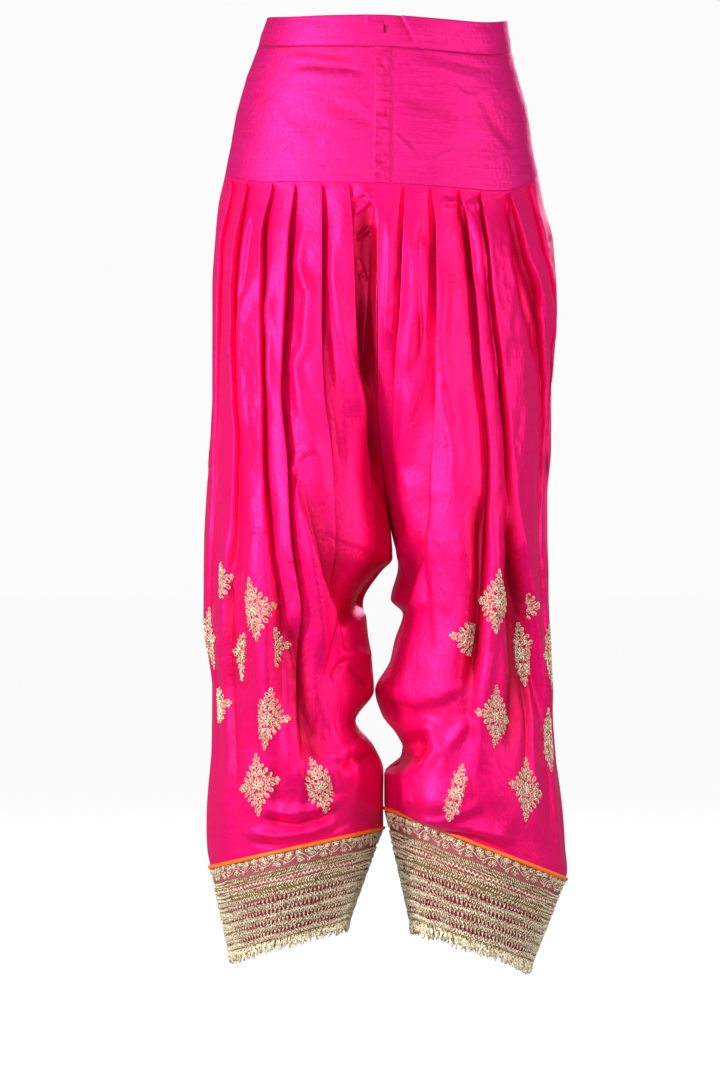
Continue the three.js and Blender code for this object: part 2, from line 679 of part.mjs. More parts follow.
// Piping: a thin cord in a fold of cloth, let into the seam above the cuff
function piping(side) {
  const half = SEAM_GAP / 2;
  const middle = PIPING_HEIGHT / 2;
  const ring = (drop, out) => cuffGrid(side, half + drop, half + drop + 1, 1, out)[0];
  const outer = [ring(0, 0), ring(middle - half, PIPING_DEPTH / 2), ring(2 * middle - half, 0)];
  const inner = [ring(0, -CLOTH), ring(middle - half, -CLOTH), ring(2 * middle - half, -CLOTH)];
  return wallGeometry(outer, inner, true);
}

// Fringe: a narrow backing strip inside the cuff's lower edge, with strands hanging from it
function fringe(side) {
  const columns = 2 * FRINGE_STRANDS;
  const shares = evenShares(0, 1, columns).slice(0, -1);
  const layers = [];
  const depths = [-CUFF_WALL - SEAM_GAP, -CUFF_WALL - SEAM_GAP - FRINGE_STRIP_DEPTH];
  const drops = [-FRINGE_STRIP_HEIGHT, 0, FRINGE_LENGTH];
  for (const drop of drops) {
    for (const depth of depths) {
      layers.push(shares.map((u, column) => {
        const bottom = slantingSeam(CUFF_BOTTOM[side], u);
        const strand = Math.floor(column / 2);
        const uneven = drop > 0 ? 1.4 * Math.sin(strand * 2.1) + 0.8 * Math.sin(strand * 5.3) : 0;
        const z = bottom - drop - uneven;
        return bodyPoint(side, u, bottom).setZ(z).addScaledVector(outwards(side, u, bottom), depth);
      }));
    }
  }
  const positions = layers.flat().flatMap((point) => point.toArray());
  const triangles = [];
  const at = (layer, column) => layer * columns + (column % columns);
  const quad = (a, b, c, d) => triangles.push(a, b, c, a, c, d);
  const [topOut, topIn, rootOut, rootIn, tipOut, tipIn] = [0, 1, 2, 3, 4, 5];
  for (let column = 0; column < columns; column += 1) {
    const next = column + 1;
    quad(at(topOut, column), at(rootOut, column), at(rootOut, next), at(topOut, next));
    quad(at(topIn, column), at(topIn, next), at(rootIn, next), at(rootIn, column));
    quad(at(topOut, column), at(topOut, next), at(topIn, next), at(topIn, column));
    if (column % 2 === 0) {
      quad(at(rootOut, column), at(tipOut, column), at(tipOut, next), at(rootOut, next));
      quad(at(rootIn, column), at(rootIn, next), at(tipIn, next), at(tipIn, column));
      quad(at(rootOut, column), at(rootIn, column), at(tipIn, column), at(tipOut, column));
      quad(at(rootOut, next), at(tipOut, next), at(tipIn, next), at(rootIn, next));
      quad(at(tipOut, next), at(tipOut, column), at(tipIn, column), at(tipIn, next));
    } else {
      quad(at(rootOut, next), at(rootOut, column), at(rootIn, column), at(rootIn, next));
    }
  }
  return closedGeometry(positions, triangles);
}

// Materials
const SILK = { color: 0xe4005f, roughness: 0.42, metalness: 0 };
const RAW_SILK = { color: 0xe81f8d, roughness: 0.6, metalness: 0 };
const PIPING_SATIN = { color: 0xff7a14, roughness: 0.5, metalness: 0 };
const GOLD_BORDER = { color: 0xc9a46b, roughness: 0.5, metalness: 0.35 };
const GOLD_THREAD = { color: 0xd8b679, roughness: 0.45, metalness: 0.4 };

const group = new THREE.Group();

function addPiece(name, geometry, look) {
  const mesh = new THREE.Mesh(geometry, new THREE.MeshStandardMaterial(look));
  mesh.name = name;
  group.add(mesh);
}

addPiece('waistband', waistband(), RAW_SILK);
addPiece('yoke_back', yokeBack(), RAW_SILK);
addPiece('placket_strip', placketStrip(), RAW_SILK);
for (const [side, word] of [[RIGHT, 'right'], [LEFT, 'left']]) {
  addPiece(`yoke_front_${word}`, yokeFront(side), RAW_SILK);
  addPiece(`leg_front_${word}`, legPanel(side, 'front'), SILK);
  addPiece(`leg_back_${word}`, legPanel(side, 'back'), SILK);
  addPiece(`piping_${word}`, piping(side), PIPING_SATIN);
  addPiece(`cuff_${word}`, cuff(side), GOLD_BORDER);
  addPiece(`fringe_${word}`, fringe(side), GOLD_THREAD);
}

export default group;
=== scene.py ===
"""Pleated silk salwar: a raw silk hip yoke, loose knife-pleated legs and stiff gold cuffs.

Sizes in the tables are millimetres in the frame's own axes: +Z up from the drawstring channel,
+X to the wearer's left, front towards -Y. Meshes are turned to metres when they are made.
"""

import bpy
import numpy as np
from mathutils import Matrix


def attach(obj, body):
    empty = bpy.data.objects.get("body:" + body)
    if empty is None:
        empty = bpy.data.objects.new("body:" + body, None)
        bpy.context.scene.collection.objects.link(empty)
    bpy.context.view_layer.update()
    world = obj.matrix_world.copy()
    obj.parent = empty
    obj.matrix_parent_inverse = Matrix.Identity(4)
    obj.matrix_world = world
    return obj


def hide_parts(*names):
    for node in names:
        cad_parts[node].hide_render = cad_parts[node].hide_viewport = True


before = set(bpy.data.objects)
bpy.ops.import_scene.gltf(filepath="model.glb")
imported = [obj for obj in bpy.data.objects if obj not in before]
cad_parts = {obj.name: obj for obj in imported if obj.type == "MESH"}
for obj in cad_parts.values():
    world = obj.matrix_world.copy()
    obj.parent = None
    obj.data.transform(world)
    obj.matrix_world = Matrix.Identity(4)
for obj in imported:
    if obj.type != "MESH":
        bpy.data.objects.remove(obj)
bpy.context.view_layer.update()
MM = 0.001

# Studio: the camera stands level with the knees, 5 m in front, and a pale floor lies under the
# open cuffs. Two tall soft boxes and two fills stand in front and one fill behind. The room
# looks white, lights the cloth less and shows least in its sheen.
PHOTO_WIDTH, PHOTO_HEIGHT = 720, 1080
MM_PER_PIXEL = 1.047
ORIGIN_PIXEL = (384, 35)
CAMERA_DISTANCE = 5.0
SENSOR = 36.0  # mm, its height
FLOOR_LEVEL = -1.072
ROOM_LIGHT = 0.35
ROOM_SHINE = 0.20
ROOM_SEEN = 0.97
FLOOR_REACH = 40.0
FLOOR_GLOW = 0.94

camera_data = bpy.data.cameras.new("camera")
camera_data.sensor_fit = "VERTICAL"
camera_data.sensor_height = SENSOR
camera_data.lens = SENSOR * CAMERA_DISTANCE / (PHOTO_HEIGHT * MM_PER_PIXEL * MM)
camera = bpy.data.objects.new("camera", camera_data)
camera.location = (
    (PHOTO_WIDTH / 2 - ORIGIN_PIXEL[0]) * MM_PER_PIXEL * MM,
    -CAMERA_DISTANCE,
    (ORIGIN_PIXEL[1] - PHOTO_HEIGHT / 2) * MM_PER_PIXEL * MM,
)
camera.rotation_euler = (np.pi / 2, 0, 0)
bpy.context.collection.objects.link(camera)
bpy.context.scene.camera = camera
bpy.context.scene.view_settings.view_transform = "Standard"


def node(tree, kind, output, values, **settings):
    """Adds a shader node and returns its named output. Settings are its properties and values
    its sockets, each a number, a colour or another node's output."""
    new = tree.nodes.new("ShaderNode" + kind)
    for name, value in settings.items():
        setattr(new, name, value)
    for name, value in values.items():
        if isinstance(value, bpy.types.NodeSocket):
            tree.links.new(value, new.inputs[name])
        else:
            new.inputs[name].default_value = value
    return new.outputs[output]


def new_material(name, roughness, metallic=0.0):
    """A node material with its gloss, and the inputs of its Principled shader."""
    material = bpy.data.materials.new(name)
    material.use_nodes = True
    inputs = material.node_tree.nodes["Principled BSDF"].inputs
    inputs["Roughness"].default_value = roughness
    inputs["Metallic"].default_value = metallic
    return material, inputs


def plain_material(name, colour, roughness):
    """One even colour under a Principled shader."""
    material, inputs = new_material(name, roughness)
    inputs["Base Color"].default_value = (*colour, 1)
    return material


def studio_floor():
    """A level square of 2 x reach metres a side under the object, glowing evenly."""
    corners = [(x * FLOOR_REACH, y * FLOOR_REACH, FLOOR_LEVEL)
               for x, y in ((-1, -1), (1, -1), (1, 1), (-1, 1))]
    mesh = bpy.data.meshes.new("studio_floor")
    mesh.from_pydata(corners, [], [(0, 1, 2, 3)])
    white, inputs = new_material("pale_floor", 1.0)
    inputs["Base Color"].default_value = (0.02, 0.02, 0.02, 1)
    inputs["Emission Color"].default_value = (1, 1, 1, 1)
    inputs["Emission Strength"].default_value = FLOOR_GLOW
    mesh.materials.append(white)
    floor = bpy.data.objects.new("studio_floor", mesh)
    floor.visible_diffuse = False
    floor.visible_glossy = False
    bpy.context.collection.objects.link(floor)
    return floor


def soft_box(name, place, aim, size, power):
    """An upright area lamp at a place, turned to face its aim."""
    lamp = bpy.data.lights.new(name, "AREA")
    lamp.shape = "RECTANGLE"
    lamp.size, lamp.size_y = size
    lamp.energy = power
    out = np.array(place) - np.array(aim)
    out /= np.linalg.norm(out)
    across = np.cross([0, 0, 1], out)
    across /= np.linalg.norm(across)
    turn = np.eye(4)
    turn[:3] = np.stack([across, np.cross(out, across), out, place], 1)
    box = bpy.data.objects.new(name, lamp)
    box.matrix_world = Matrix(turn.tolist())
    bpy.context.collection.objects.link(box)


studio_floor()
soft_box("left_soft_box", (-3.8, -2.1, 0.7), (0, 0, -0.45), (0.7, 2.6), 205)
soft_box("right_soft_box", (3.4, -1.7, 0.2), (0, 0, -0.55), (0.6, 2.4), 74)
soft_box("front_fill", (0.5, -4.6, 1.2), (0, 0, -0.5), (1.6, 0.6), 42)
soft_box("low_fill", (-1.3, -3.6, -0.95), (0, 0, -0.9), (1.8, 0.3), 60)
soft_box("back_fill", (0.8, 4.2, 0.9), (0, 0, -0.5), (2.2, 1.4), 60)
world = bpy.data.worlds.new("white_room")
world.use_nodes = True
room = world.node_tree
background = room.nodes["Background"].inputs
background["Color"].default_value = (1, 1, 1, 1)
ray = room.nodes.new("ShaderNodeLightPath").outputs
lit = node(room, "Mix", "Result", {"Factor": ray["Is Glossy Ray"], "A": ROOM_LIGHT,
                                   "B": ROOM_SHINE})
seen = node(room, "Mix", "Result", {"Factor": ray["Is Camera Ray"], "A": lit, "B": ROOM_SEEN})
room.links.new(seen, background["Strength"])
bpy.context.scene.world = world

# Waistband: a strip of raw silk folded into a channel for the drawstring and stitched to
# the yoke. Its front has an upright slit for the string and a slanting overlap of its ends.
RIGHT, LEFT = -1, 1
CROTCH_LEVEL = -520
OUTER_OUTLINE = {  # z, x of the outermost thread
    RIGHT: [(20, -122), (-12, -132), (-45, -144), (-80, -154), (-114, -160), (-148, -167),
            (-181, -174), (-215, -177), (-265, -180), (-382, -180), (-432, -182), (-483, -186),
            (-533, -188.5), (-610, -189), (-650, -184), (-684, -180), (-767, -181), (-851, -184),
            (-870, -182), (-918, -169.6), (-985, -156)],
    LEFT: [(20, 129), (-12, 133), (-45, 141), (-80, 150), (-114, 155), (-148, 162), (-181, 168),
           (-215, 177), (-265, 180), (-315, 179), (-382, 175), (-432, 175), (-483, 171),
           (-583, 171), (-650, 173.5), (-717, 177), (-767, 181), (-851, 188), (-877, 191.6),
           (-901, 183), (-935, 169.5), (-990, 148)],
}
INNER_OUTLINE = {  # z, x of the inner side of each leg below the crotch
    RIGHT: [(-520, 7.5), (-548, 9), (-563, -4), (-595, -22), (-625, -19), (-660, -13),
            (-686, -10.4), (-718, -30), (-744, -11), (-770, -0.7), (-828, -0.7), (-851, -7),
            (-885, -19), (-918, -33), (-943, -41), (-985, -54)],
    LEFT: [(-520, 7.5), (-556, 14.7), (-591, 7), (-606, 20), (-635, 11.5), (-656, 6),
           (-686, -9.4), (-712, -2), (-744, 22), (-755, 21), (-772, 0.7), (-807, 0.8),
           (-834, 7), (-868, 15), (-901, 23), (-935, 30), (-990, 41)],
}
FRONTS = [(20, -94), (-12, -97), (-60, -104), (-110, -110), (-160, -116), (-230, -134),
          (-320, -150), (-420, -158), (-520, -152), (-620, -140), (-720, -124), (-800, -106),
          (-850, -93), (-985, -70)]
BACKS = [(20, 103), (-12, 106), (-60, 113), (-110, 121), (-160, 128), (-230, 146), (-320, 160),
         (-420, 164), (-520, 156), (-620, 142), (-720, 130), (-800, 118), (-850, 108), (-985, 82)]
CENTRE_SEAM = [(20, 0), (-150, -2), (-200, -5), (-290, -7), (-380, -7), (-440, -3), (-520, 7.5)]
LEG_SHARE = [(-150, 0), (-200, 0.02), (-280, 0.1), (-360, 0.28), (-430, 0.55), (-480, 0.80),
             (-545, 1), (-600, 1)]
ROUND_THE_BODY = (0, 0.25, 0.5, 0.75, 1)  # front centre, quarter, side, back quarter, centre
WAIST_TOP = {RIGHT: (11, 12.5, 18, 19, 19), LEFT: (11, 7, 15, 18, 19)}
WAISTBAND_SEAM = {RIGHT: (-22, -18.5, -12, -12, -13), LEFT: (-22, -27, -18, -14, -13)}
YOKE_SEAM = {RIGHT: (-163.5, -160, -148, -152, -158), LEFT: (-163.5, -169.5, -145, -152, -158)}
# Creases, ridges and then lips: a width, a rise and the points x, z of a line. A
# ridge, or a trough where it sinks, is a bell across its line. A lip is a step, raised to the
# right of a downward line where positive.
WAIST_CREASES = ([(1.8, 0.7, -18, 16, -17.5, 8, -17, 0)], [(6, 1.7, 14, 18, 21, 4, 33, -18)])
SEAM_GAP = 0.15  # from a seam to the edge of the cloth on each side
BAND_ROWS, BAND_COLUMNS = 24, 200
BAND_WALL = 2.6
BAND_RIPPLE, BAND_CELLS = 0.5, (3, 40)  # slack of the channel: height, and cells down and round
BAND_PUFF, BAND_INSET = 0.8, 0.3
SILK_RELIEF = 0.0003  # m
CHORD = 0.004  # half the share of a side over which its direction is taken
RAW_SILK_COLOUR = (0.62, 0.001, 0.125)
RAW_SILK_SLUB = (0.95, 0.018, 0.27)
RAW_SILK_GLOSS = (0.43, 0.5, 0.4, (1.0, 0.4, 0.75))  # roughness, metallic, specular and its tint
RAW_SILK_THREADS = (0.35, 0.6, 1.0)  # thread in mm, rise of the slubs, bump
CRINKLE = 2.6
# Painted shade: deep reds that the mesh's shade attribute lays into crevices and troughs; from 0.48
# up the colour is left alone.
FOLD_PAINTED_SHADE = [(0, (0.40, 0, 0.13)), (0.2, (0.66, 0, 0.24)), (0.48, (1, 1, 1))]


def curve(rows, at):
    """Smooth curve through (place, value) rows: cubic pieces whose slope at each row is the
    harmonic mean of the slopes on its two sides, or level at a peak, so it never overshoots."""
    places, values = np.array(sorted(rows), float).T
    step = np.diff(places)
    slope = np.diff(values) / step
    product = slope[:-1] * slope[1:]
    total = slope[:-1] + slope[1:]
    inner = np.where(product > 0, 2 * product / np.where(total == 0, 1, total), 0)
    tangent = np.concatenate([slope[:1], inner, slope[-1:]])
    at = np.clip(at, places[0], places[-1])
    i = np.clip(np.searchsorted(places, at, side="right") - 1, 0, len(places) - 2)
    t = (at - places[i]) / step[i]
    s = 1 - t
    return ((1 + 2 * t) * s * s * values[i] + t * s * s * step[i] * tangent[i]
            + t * t * (3 - 2 * t) * values[i + 1] - t * t * s * step[i] * tangent[i + 1])


def cross_seam(heights, u):
    """Height of a seam that runs round half the body, from its heights at five places."""
    return curve(list(zip(ROUND_THE_BODY, heights)), u)


def inner_edge(side, z):
    """The centre seam above the crotch and the inner outline of one leg below it."""
    return np.where(z >= CROTCH_LEVEL, curve(CENTRE_SEAM, z), curve(INNER_OUTLINE[side], z))


def body(side, u, z):
    """Points (mm) of the smooth body: half an oval round the hips, sin and cos of pi u, which
    turns below the yoke into a closed oval round one leg, sin and cos of 2 pi u. u runs from
    the front centre by the outer side to the back centre. The oval follows a mean of the inner
    outline over 130 mm, and its own notches add only near u = 0 and 1, as cos^14 pi u."""
    u, z = np.broadcast_arrays(np.asarray(u, float), np.asarray(z, float))
    outer = curve(OUTER_OUTLINE[side], z)
    seam = curve(CENTRE_SEAM, z)
    inner = inner_edge(side, z)
    mean = sum(inner_edge(side, z + shift) for shift in np.linspace(-65, 65, 9)) / 9
    notch = (inner - mean) * np.cos(np.pi * u) ** 14
    share = curve(LEG_SHARE, z)
    front, back = curve(FRONTS, z), curve(BACKS, z)
    middle, half_depth = (front + back) / 2, (back - front) / 2
    hip_x = seam + (outer - seam) * np.sin(np.pi * u)
    hip_y = middle - half_depth * np.cos(np.pi * u)
    leg_x = (outer + mean) / 2 - (outer - mean) / 2 * np.cos(2 * np.pi * u) + notch
    leg_y = middle - half_depth * np.sin(2 * np.pi * u)
    return np.stack([(1 - share) * hip_x + share * leg_x,
                     (1 - share) * hip_y + share * leg_y, z], -1)


def unit(vectors):
    """The same directions with length 1."""
    return vectors / np.maximum(np.linalg.norm(vectors, axis=-1, keepdims=True), 1e-9)


def chord(side, u, z):
    """A short chord of the body along u."""
    return body(side, np.minimum(u + CHORD, 1), z) - body(side, np.maximum(u - CHORD, 0), z)


def outwards(side, u, z):
    """Level unit directions out of the body, square to a short chord along u."""
    x, y, level = np.moveaxis(chord(side, u, z), -1, 0)
    return unit(np.stack([y * side, -x * side, level], -1))


def run_of(points, closed):
    """Differences along the second axis, taken round the joined ends of a closed grid."""
    if closed:
        return np.roll(points, -1, 1) - np.roll(points, 1, 1)
    return np.gradient(points, axis=1)


def lengths_along(points):
    """Distance of each point from the first one, along a line of points or each column."""
    steps = np.linalg.norm(np.diff(points, axis=0), axis=-1)
    return np.concatenate([0 * steps[:1], np.cumsum(steps, 0)])


def grid_normals(points, turned, closed):
    """Unit normals of a grid of points, the cross product of its differences both ways."""
    normals = np.cross(np.gradient(points, axis=0), run_of(points, closed))
    return unit(-normals if turned else normals)


def make_object(name, vertices, faces, material, uv=None, painted_fold_shade=None):
    """A smooth mesh object in metres from millimetre points, with its cloth coordinates."""
    mesh = bpy.data.meshes.new(name)
    mesh.from_pydata(vertices * MM, [], faces)
    if uv is not None:
        layer = mesh.uv_layers.new(name="cloth")
        corners = np.empty(len(mesh.loops), np.int32)
        mesh.loops.foreach_get("vertex_index", corners)
        layer.data.foreach_set("uv", uv[corners].astype(np.float32).ravel())
    if painted_fold_shade is not None:
        layer = mesh.attributes.new("painted_fold_shade", "FLOAT", "POINT")
        layer.data.foreach_set("value", painted_fold_shade.astype(np.float32).ravel())
    mesh.polygons.foreach_set("use_smooth", np.ones(len(mesh.polygons), bool))
    mesh.materials.append(material)
    piece = bpy.data.objects.new(name, mesh)
    bpy.context.collection.objects.link(piece)
    return piece


def grid_quads(rows, columns, turned):
    """Quads between the neighbours of a grid, wound the other way where it is turned."""
    index = np.arange(rows * columns).reshape(rows, columns)
    quads = np.stack([index[:-1, :-1], index[1:, :-1], index[1:, 1:], index[:-1, 1:]], -1)
    quads = quads.reshape(-1, 4)
    return quads[:, ::-1] if turned else quads


def thicken(piece, wall, closed):
    """Joins a ring's two ends and gives the cloth its thickness (mm) inwards."""
    if closed:
        weld = piece.modifiers.new("join_ends", "WELD")
        weld.merge_threshold = 0.00001
    if wall:
        thick = piece.modifiers.new("cloth_thickness", "SOLIDIFY")
        thick.thickness = wall * MM
        thick.offset = -1
        thick.use_even_offset = False


def sheet_grid(name, points, material, turned=False, closed=False, wall=0.0, painted_fold_shade=None):
    """A sheet over a grid of points: quads between neighbours, with the lengths along and
    down the cloth (m) as its coordinates, and a wall's thickness behind it where given."""
    painted_fold_shade = np.full(points.shape[:2], 0.5) if painted_fold_shade is None else painted_fold_shade
    if closed:
        points = np.concatenate([points, points[:, :1]], 1)
        painted_fold_shade = np.concatenate([painted_fold_shade, painted_fold_shade[:, :1]], 1)
    across, down = lengths_along(points.swapaxes(0, 1)).T, lengths_along(points)
    uv = np.stack([across, -down], -1).reshape(-1, 2) * MM
    faces = grid_quads(*points.shape[:2], turned)
    piece = make_object(name, points.reshape(-1, 3), faces, material, uv, painted_fold_shade)
    thicken(piece, wall, closed)
    return piece


def stretched_noise(tree, along, down, detail):
    """Noise on the cloth's own coordinates, its cells of the given sizes (mm)."""
    cloth = node(tree, "UVMap", "UV", {}, uv_map="cloth")
    place = node(tree, "Mapping", "Vector",
                 {"Vector": cloth, "Scale": (1 / (along * MM), 1 / (down * MM), 1)})
    return node(tree, "TexNoise", "Fac", {"Vector": place, "Scale": 1, "Detail": detail})


def ramp(tree, factor, stops, interpolation="LINEAR"):
    """Colours by a factor through (position, colour) stops."""
    new = tree.nodes.new("ShaderNodeValToRGB")
    new.color_ramp.interpolation = interpolation
    elements = new.color_ramp.elements
    while len(elements) < len(stops):
        elements.new(0.5)
    for element, (position, colour) in zip(elements, stops):
        element.position = position
        element.color = (*colour, 1)
    tree.links.new(factor, new.inputs["Fac"])
    return new.outputs["Color"]


def multiplied(tree, first, second):
    """One colour darkened by another."""
    return node(tree, "Mix", "Result", {"Factor": 1.0, "A": first, "B": second},
                data_type="RGBA", blend_type="MULTIPLY")


def surface(material, colour, height, strength, distance):
    """Gives a material's shader its colour and its relief, of a strength and distance (m)."""
    tree = material.node_tree
    inputs = tree.nodes["Principled BSDF"].inputs
    tree.links.new(colour, inputs["Base Color"])
    tree.links.new(node(tree, "Bump", "Normal", {"Height": height, "Strength": strength,
                                                 "Distance": distance}), inputs["Normal"])


def woven_silk(name, colour, slub_colour, gloss, threads):
    """Woven silk on the cloth's own coordinates: fine stretched noise both ways for warp and
    weft, broad thick-and-thin threads across the width, and their bump. Painted shade: the hollows
    of the folds are darkened to deep red by a per-point shade attribute of the mesh, 0 in a crevice
    and 0.5 on the flat."""
    roughness, metallic, level, tint = gloss
    thread_mm, slub, bump = threads
    material, inputs = new_material(name, roughness, metallic)
    inputs["Specular IOR Level"].default_value = level
    inputs["Specular Tint"].default_value = (*tint, 1)
    tree = material.node_tree

    def total(shares):
        """Sum of values, each times its share."""
        result = 0.0
        for value, share in shares:
            result = node(tree, "Math", "Value", {0: value, 1: share, 2: result},
                          operation="MULTIPLY_ADD")
        return result

    weft = stretched_noise(tree, 26 * thread_mm, thread_mm, 2)
    warp = stretched_noise(tree, thread_mm, 26 * thread_mm, 2)
    thick_thread = stretched_noise(tree, 70, 1.6, 3)
    crinkle = stretched_noise(tree, 4, 7, 4)
    height = total([(weft, 0.5), (warp, 0.5), (thick_thread, slub), (crinkle, CRINKLE)])
    cloth = ramp(tree, total([(weft, 0.5), (thick_thread, 0.5)]),
                 [(0.3, colour), (0.8, slub_colour)])
    painted_fold_shade = node(tree, "Attribute", "Fac", {}, attribute_name="painted_fold_shade")
    shaded = multiplied(tree, cloth, ramp(tree, painted_fold_shade, FOLD_PAINTED_SHADE))
    surface(material, shaded, height, bump, SILK_RELIEF)
    return material


def smoothstep(x):
    """The eased step 3 x^2 - 2 x^3 between 0 and 1."""
    x = np.clip(x, 0, 1)
    return x * x * (3 - 2 * x)


def crease_rise(creases, x, z):
    """Sum of the creases. With s the signed distance to the line and w the width, a ridge is
    exp(-(s/w)^2) and a lip is tanh(s/0.12w) exp(-|s|/w), both eased out at the line's ends."""
    rise = np.zeros_like(x)
    ridges, lips = creases
    for n, (width, top, *line) in enumerate(ridges + lips):
        knots = np.reshape(line, (-1, 2)).astype(float)
        starts = lengths_along(knots)
        nearest, along, signed = np.full_like(x, 1e9), np.zeros_like(x), np.zeros_like(x)
        for (ax, az), (bx, bz), start in zip(knots[:-1], knots[1:], starts):
            length = np.hypot(bx - ax, bz - az)
            dx, dz = (bx - ax) / length, (bz - az) / length
            t = np.clip((x - ax) * dx + (z - az) * dz, 0, length)
            gap = np.hypot(x - ax - t * dx, z - az - t * dz)
            across = dx * (z - az) - dz * (x - ax)
            closer = gap < nearest
            nearest = np.where(closer, gap, nearest)
            along = np.where(closer, start + t, along)
            signed = np.where(closer, np.where(across < 0, -gap, gap), signed)
        share = along / starts[-1]
        ease = smoothstep(share / 0.22) * smoothstep((1 - share) / 0.22)
        if n < len(ridges):
            bell = np.exp(-(nearest / width) ** 2)
        else:
            bell = np.tanh(signed / (0.12 * width)) * np.exp(-nearest / width)
        rise += top * ease * bell
    return rise


def half_ring(side, top, bottom, u, rows, out=0.0):
    """Grid between two cross seams over shares u of one side, set out from the body (mm)."""
    down = np.linspace(0, 1, rows + 1)[:, None]
    z = (1 - down) * cross_seam(top[side], u) + down * cross_seam(bottom[side], u)
    u = np.broadcast_to(u, z.shape)
    return body(side, u, z) + outwards(side, u, z) * np.asarray(out)[..., None]


def between_knots(field, i, j, down, across):
    """Mix of a field's four knots round each place, by its shares down and across."""
    upper = field[i, j] * (1 - across) + field[i, j + 1] * across
    lower = field[i + 1, j] * (1 - across) + field[i + 1, j + 1] * across
    return upper * (1 - down) + lower * down


def smooth_noise(shape, cells, seed, across=None):
    """Value noise from -1 to 1: random heights on a coarse net, eased between its knots. The
    columns are even, or lie at the given shares of the way across."""
    knots = np.random.default_rng(seed).uniform(-1, 1, (cells[0] + 2, cells[1] + 2))
    y = np.linspace(0, cells[0], shape[0])[:, None]
    x = np.linspace(0, 1, shape[1])[None, :] if across is None else across
    x = x * cells[1]
    i, j = y.astype(int), x.astype(int)
    return between_knots(knots, i, j, smoothstep(y - i), smoothstep(x - j))


def shifted(heights, drop):
    """The same seam on both sides, lower by a distance, or higher where it is negative."""
    return {side: tuple(h - drop for h in row) for side, row in heights.items()}


silk_yoke = woven_silk("raw_silk", RAW_SILK_COLOUR, RAW_SILK_SLUB, RAW_SILK_GLOSS,
                       RAW_SILK_THREADS)


def waistband():
    """Both halves of the ring joined, with a slack ripple of under a millimetre."""
    u = np.linspace(0, 1, BAND_COLUMNS) ** 1.2
    bottom = shifted(WAISTBAND_SEAM, -SEAM_GAP)
    left = half_ring(LEFT, WAIST_TOP, bottom, u, BAND_ROWS)
    right = half_ring(RIGHT, WAIST_TOP, bottom, u[::-1], BAND_ROWS)
    ring = np.concatenate([left[:, :-1], right[:, :-1]], 1)
    down = np.linspace(0, 1, BAND_ROWS + 1)[:, None]
    middle = np.sin(np.pi * down)
    ripple = BAND_RIPPLE * smooth_noise(ring.shape[:2], BAND_CELLS, 11) * middle
    puff = BAND_PUFF * middle - BAND_INSET
    normals = grid_normals(ring, False, True)
    creases = crease_rise(WAIST_CREASES, ring[..., 0], ring[..., 2]) * (ring[..., 1] < 0)
    ring = ring + normals * (ripple + puff + creases)[..., None]
    # Painted shade: darker in the troughs of the front creases and along the lower edge by the yoke
    # seam.
    painted_fold_shade = 0.5 + 0.16 * creases - 0.12 * np.exp(-((1 - down) / 0.05) ** 2)
    return sheet_grid("waistband_channel", ring, silk_yoke, closed=True, wall=BAND_WALL,
                      painted_fold_shade=painted_fold_shade)


band = waistband()
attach(band, "root")
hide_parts("waistband")

# Yoke: flat raw silk from waist to hip, cut as two fronts and a back and sewn at the sides,
# smooth over the hips with a few slack creases. A narrow strip covers the centre front seam.
YOKE_CREASES = ([
    (4, -1.7, -112, -20, -70, -28, -27, -35), (3.2, -2.0, -98, -38, -50, -43, -12, -49),
    (5, 1.3, -102, -47, -55, -52, -20, -58), (1.7, 1.6, -16, -36, -28, -44, -39, -54),
    (3.5, -1.6, 26, -28, 70, -36, 118, -46), (4.5, 1.3, 22, -37, 60, -45, 102, -57),
    (1.7, 1.4, 9, -112, 20, -122, 31, -137), (1.7, -1.1, 14, -110, 25, -121, 36, -134),
    (1.7, 1.2, -66, -125, -54, -113, -42, -102), (1.8, 1.2, 46, -141, 60, -134, 76, -128),
    (1.8, 1.0, -30, -76, -22, -84, -12, -90), (7, -1.3, -62, -80, -32, -94, -8, -104),
    (7, -1.2, 10, -70, 42, -84, 84, -98), (6, 1.0, -128, -64, -104, -98, -72, -130),
    (5, -1.0, 96, -66, 112, -98, 140, -128), (2, 0.9, 70, -62, 82, -70, 96, -74),
], [])

YOKE_TOP, YOKE_BOTTOM = shifted(WAISTBAND_SEAM, SEAM_GAP), shifted(YOKE_SEAM, -SEAM_GAP)
YOKE_ROWS = 72
FRONT_COLUMNS, BACK_COLUMNS = 112, 62
YOKE_WALL = 1.2
YOKE_SLACK = [(0.5, (9, 7)), (0.22, (36, 22))]  # height, and cells down and across
# Painted shade: how strongly the yoke's troughs and top edge are darkened.
YOKE_PAINTED_SHADE = 0.08
TUCKED_UP, TUCKED_IN = 2.0, 0.9  # the top edge behind the waistband
STRIP_ROWS = 130
STRIP_EDGE = 0.0205  # as a share of one side
STRIP_WALL = 0.5
STRIP_LIFT = 0.8
PUCKER, PUCKER_CELLS = 0.9, (44, 3)


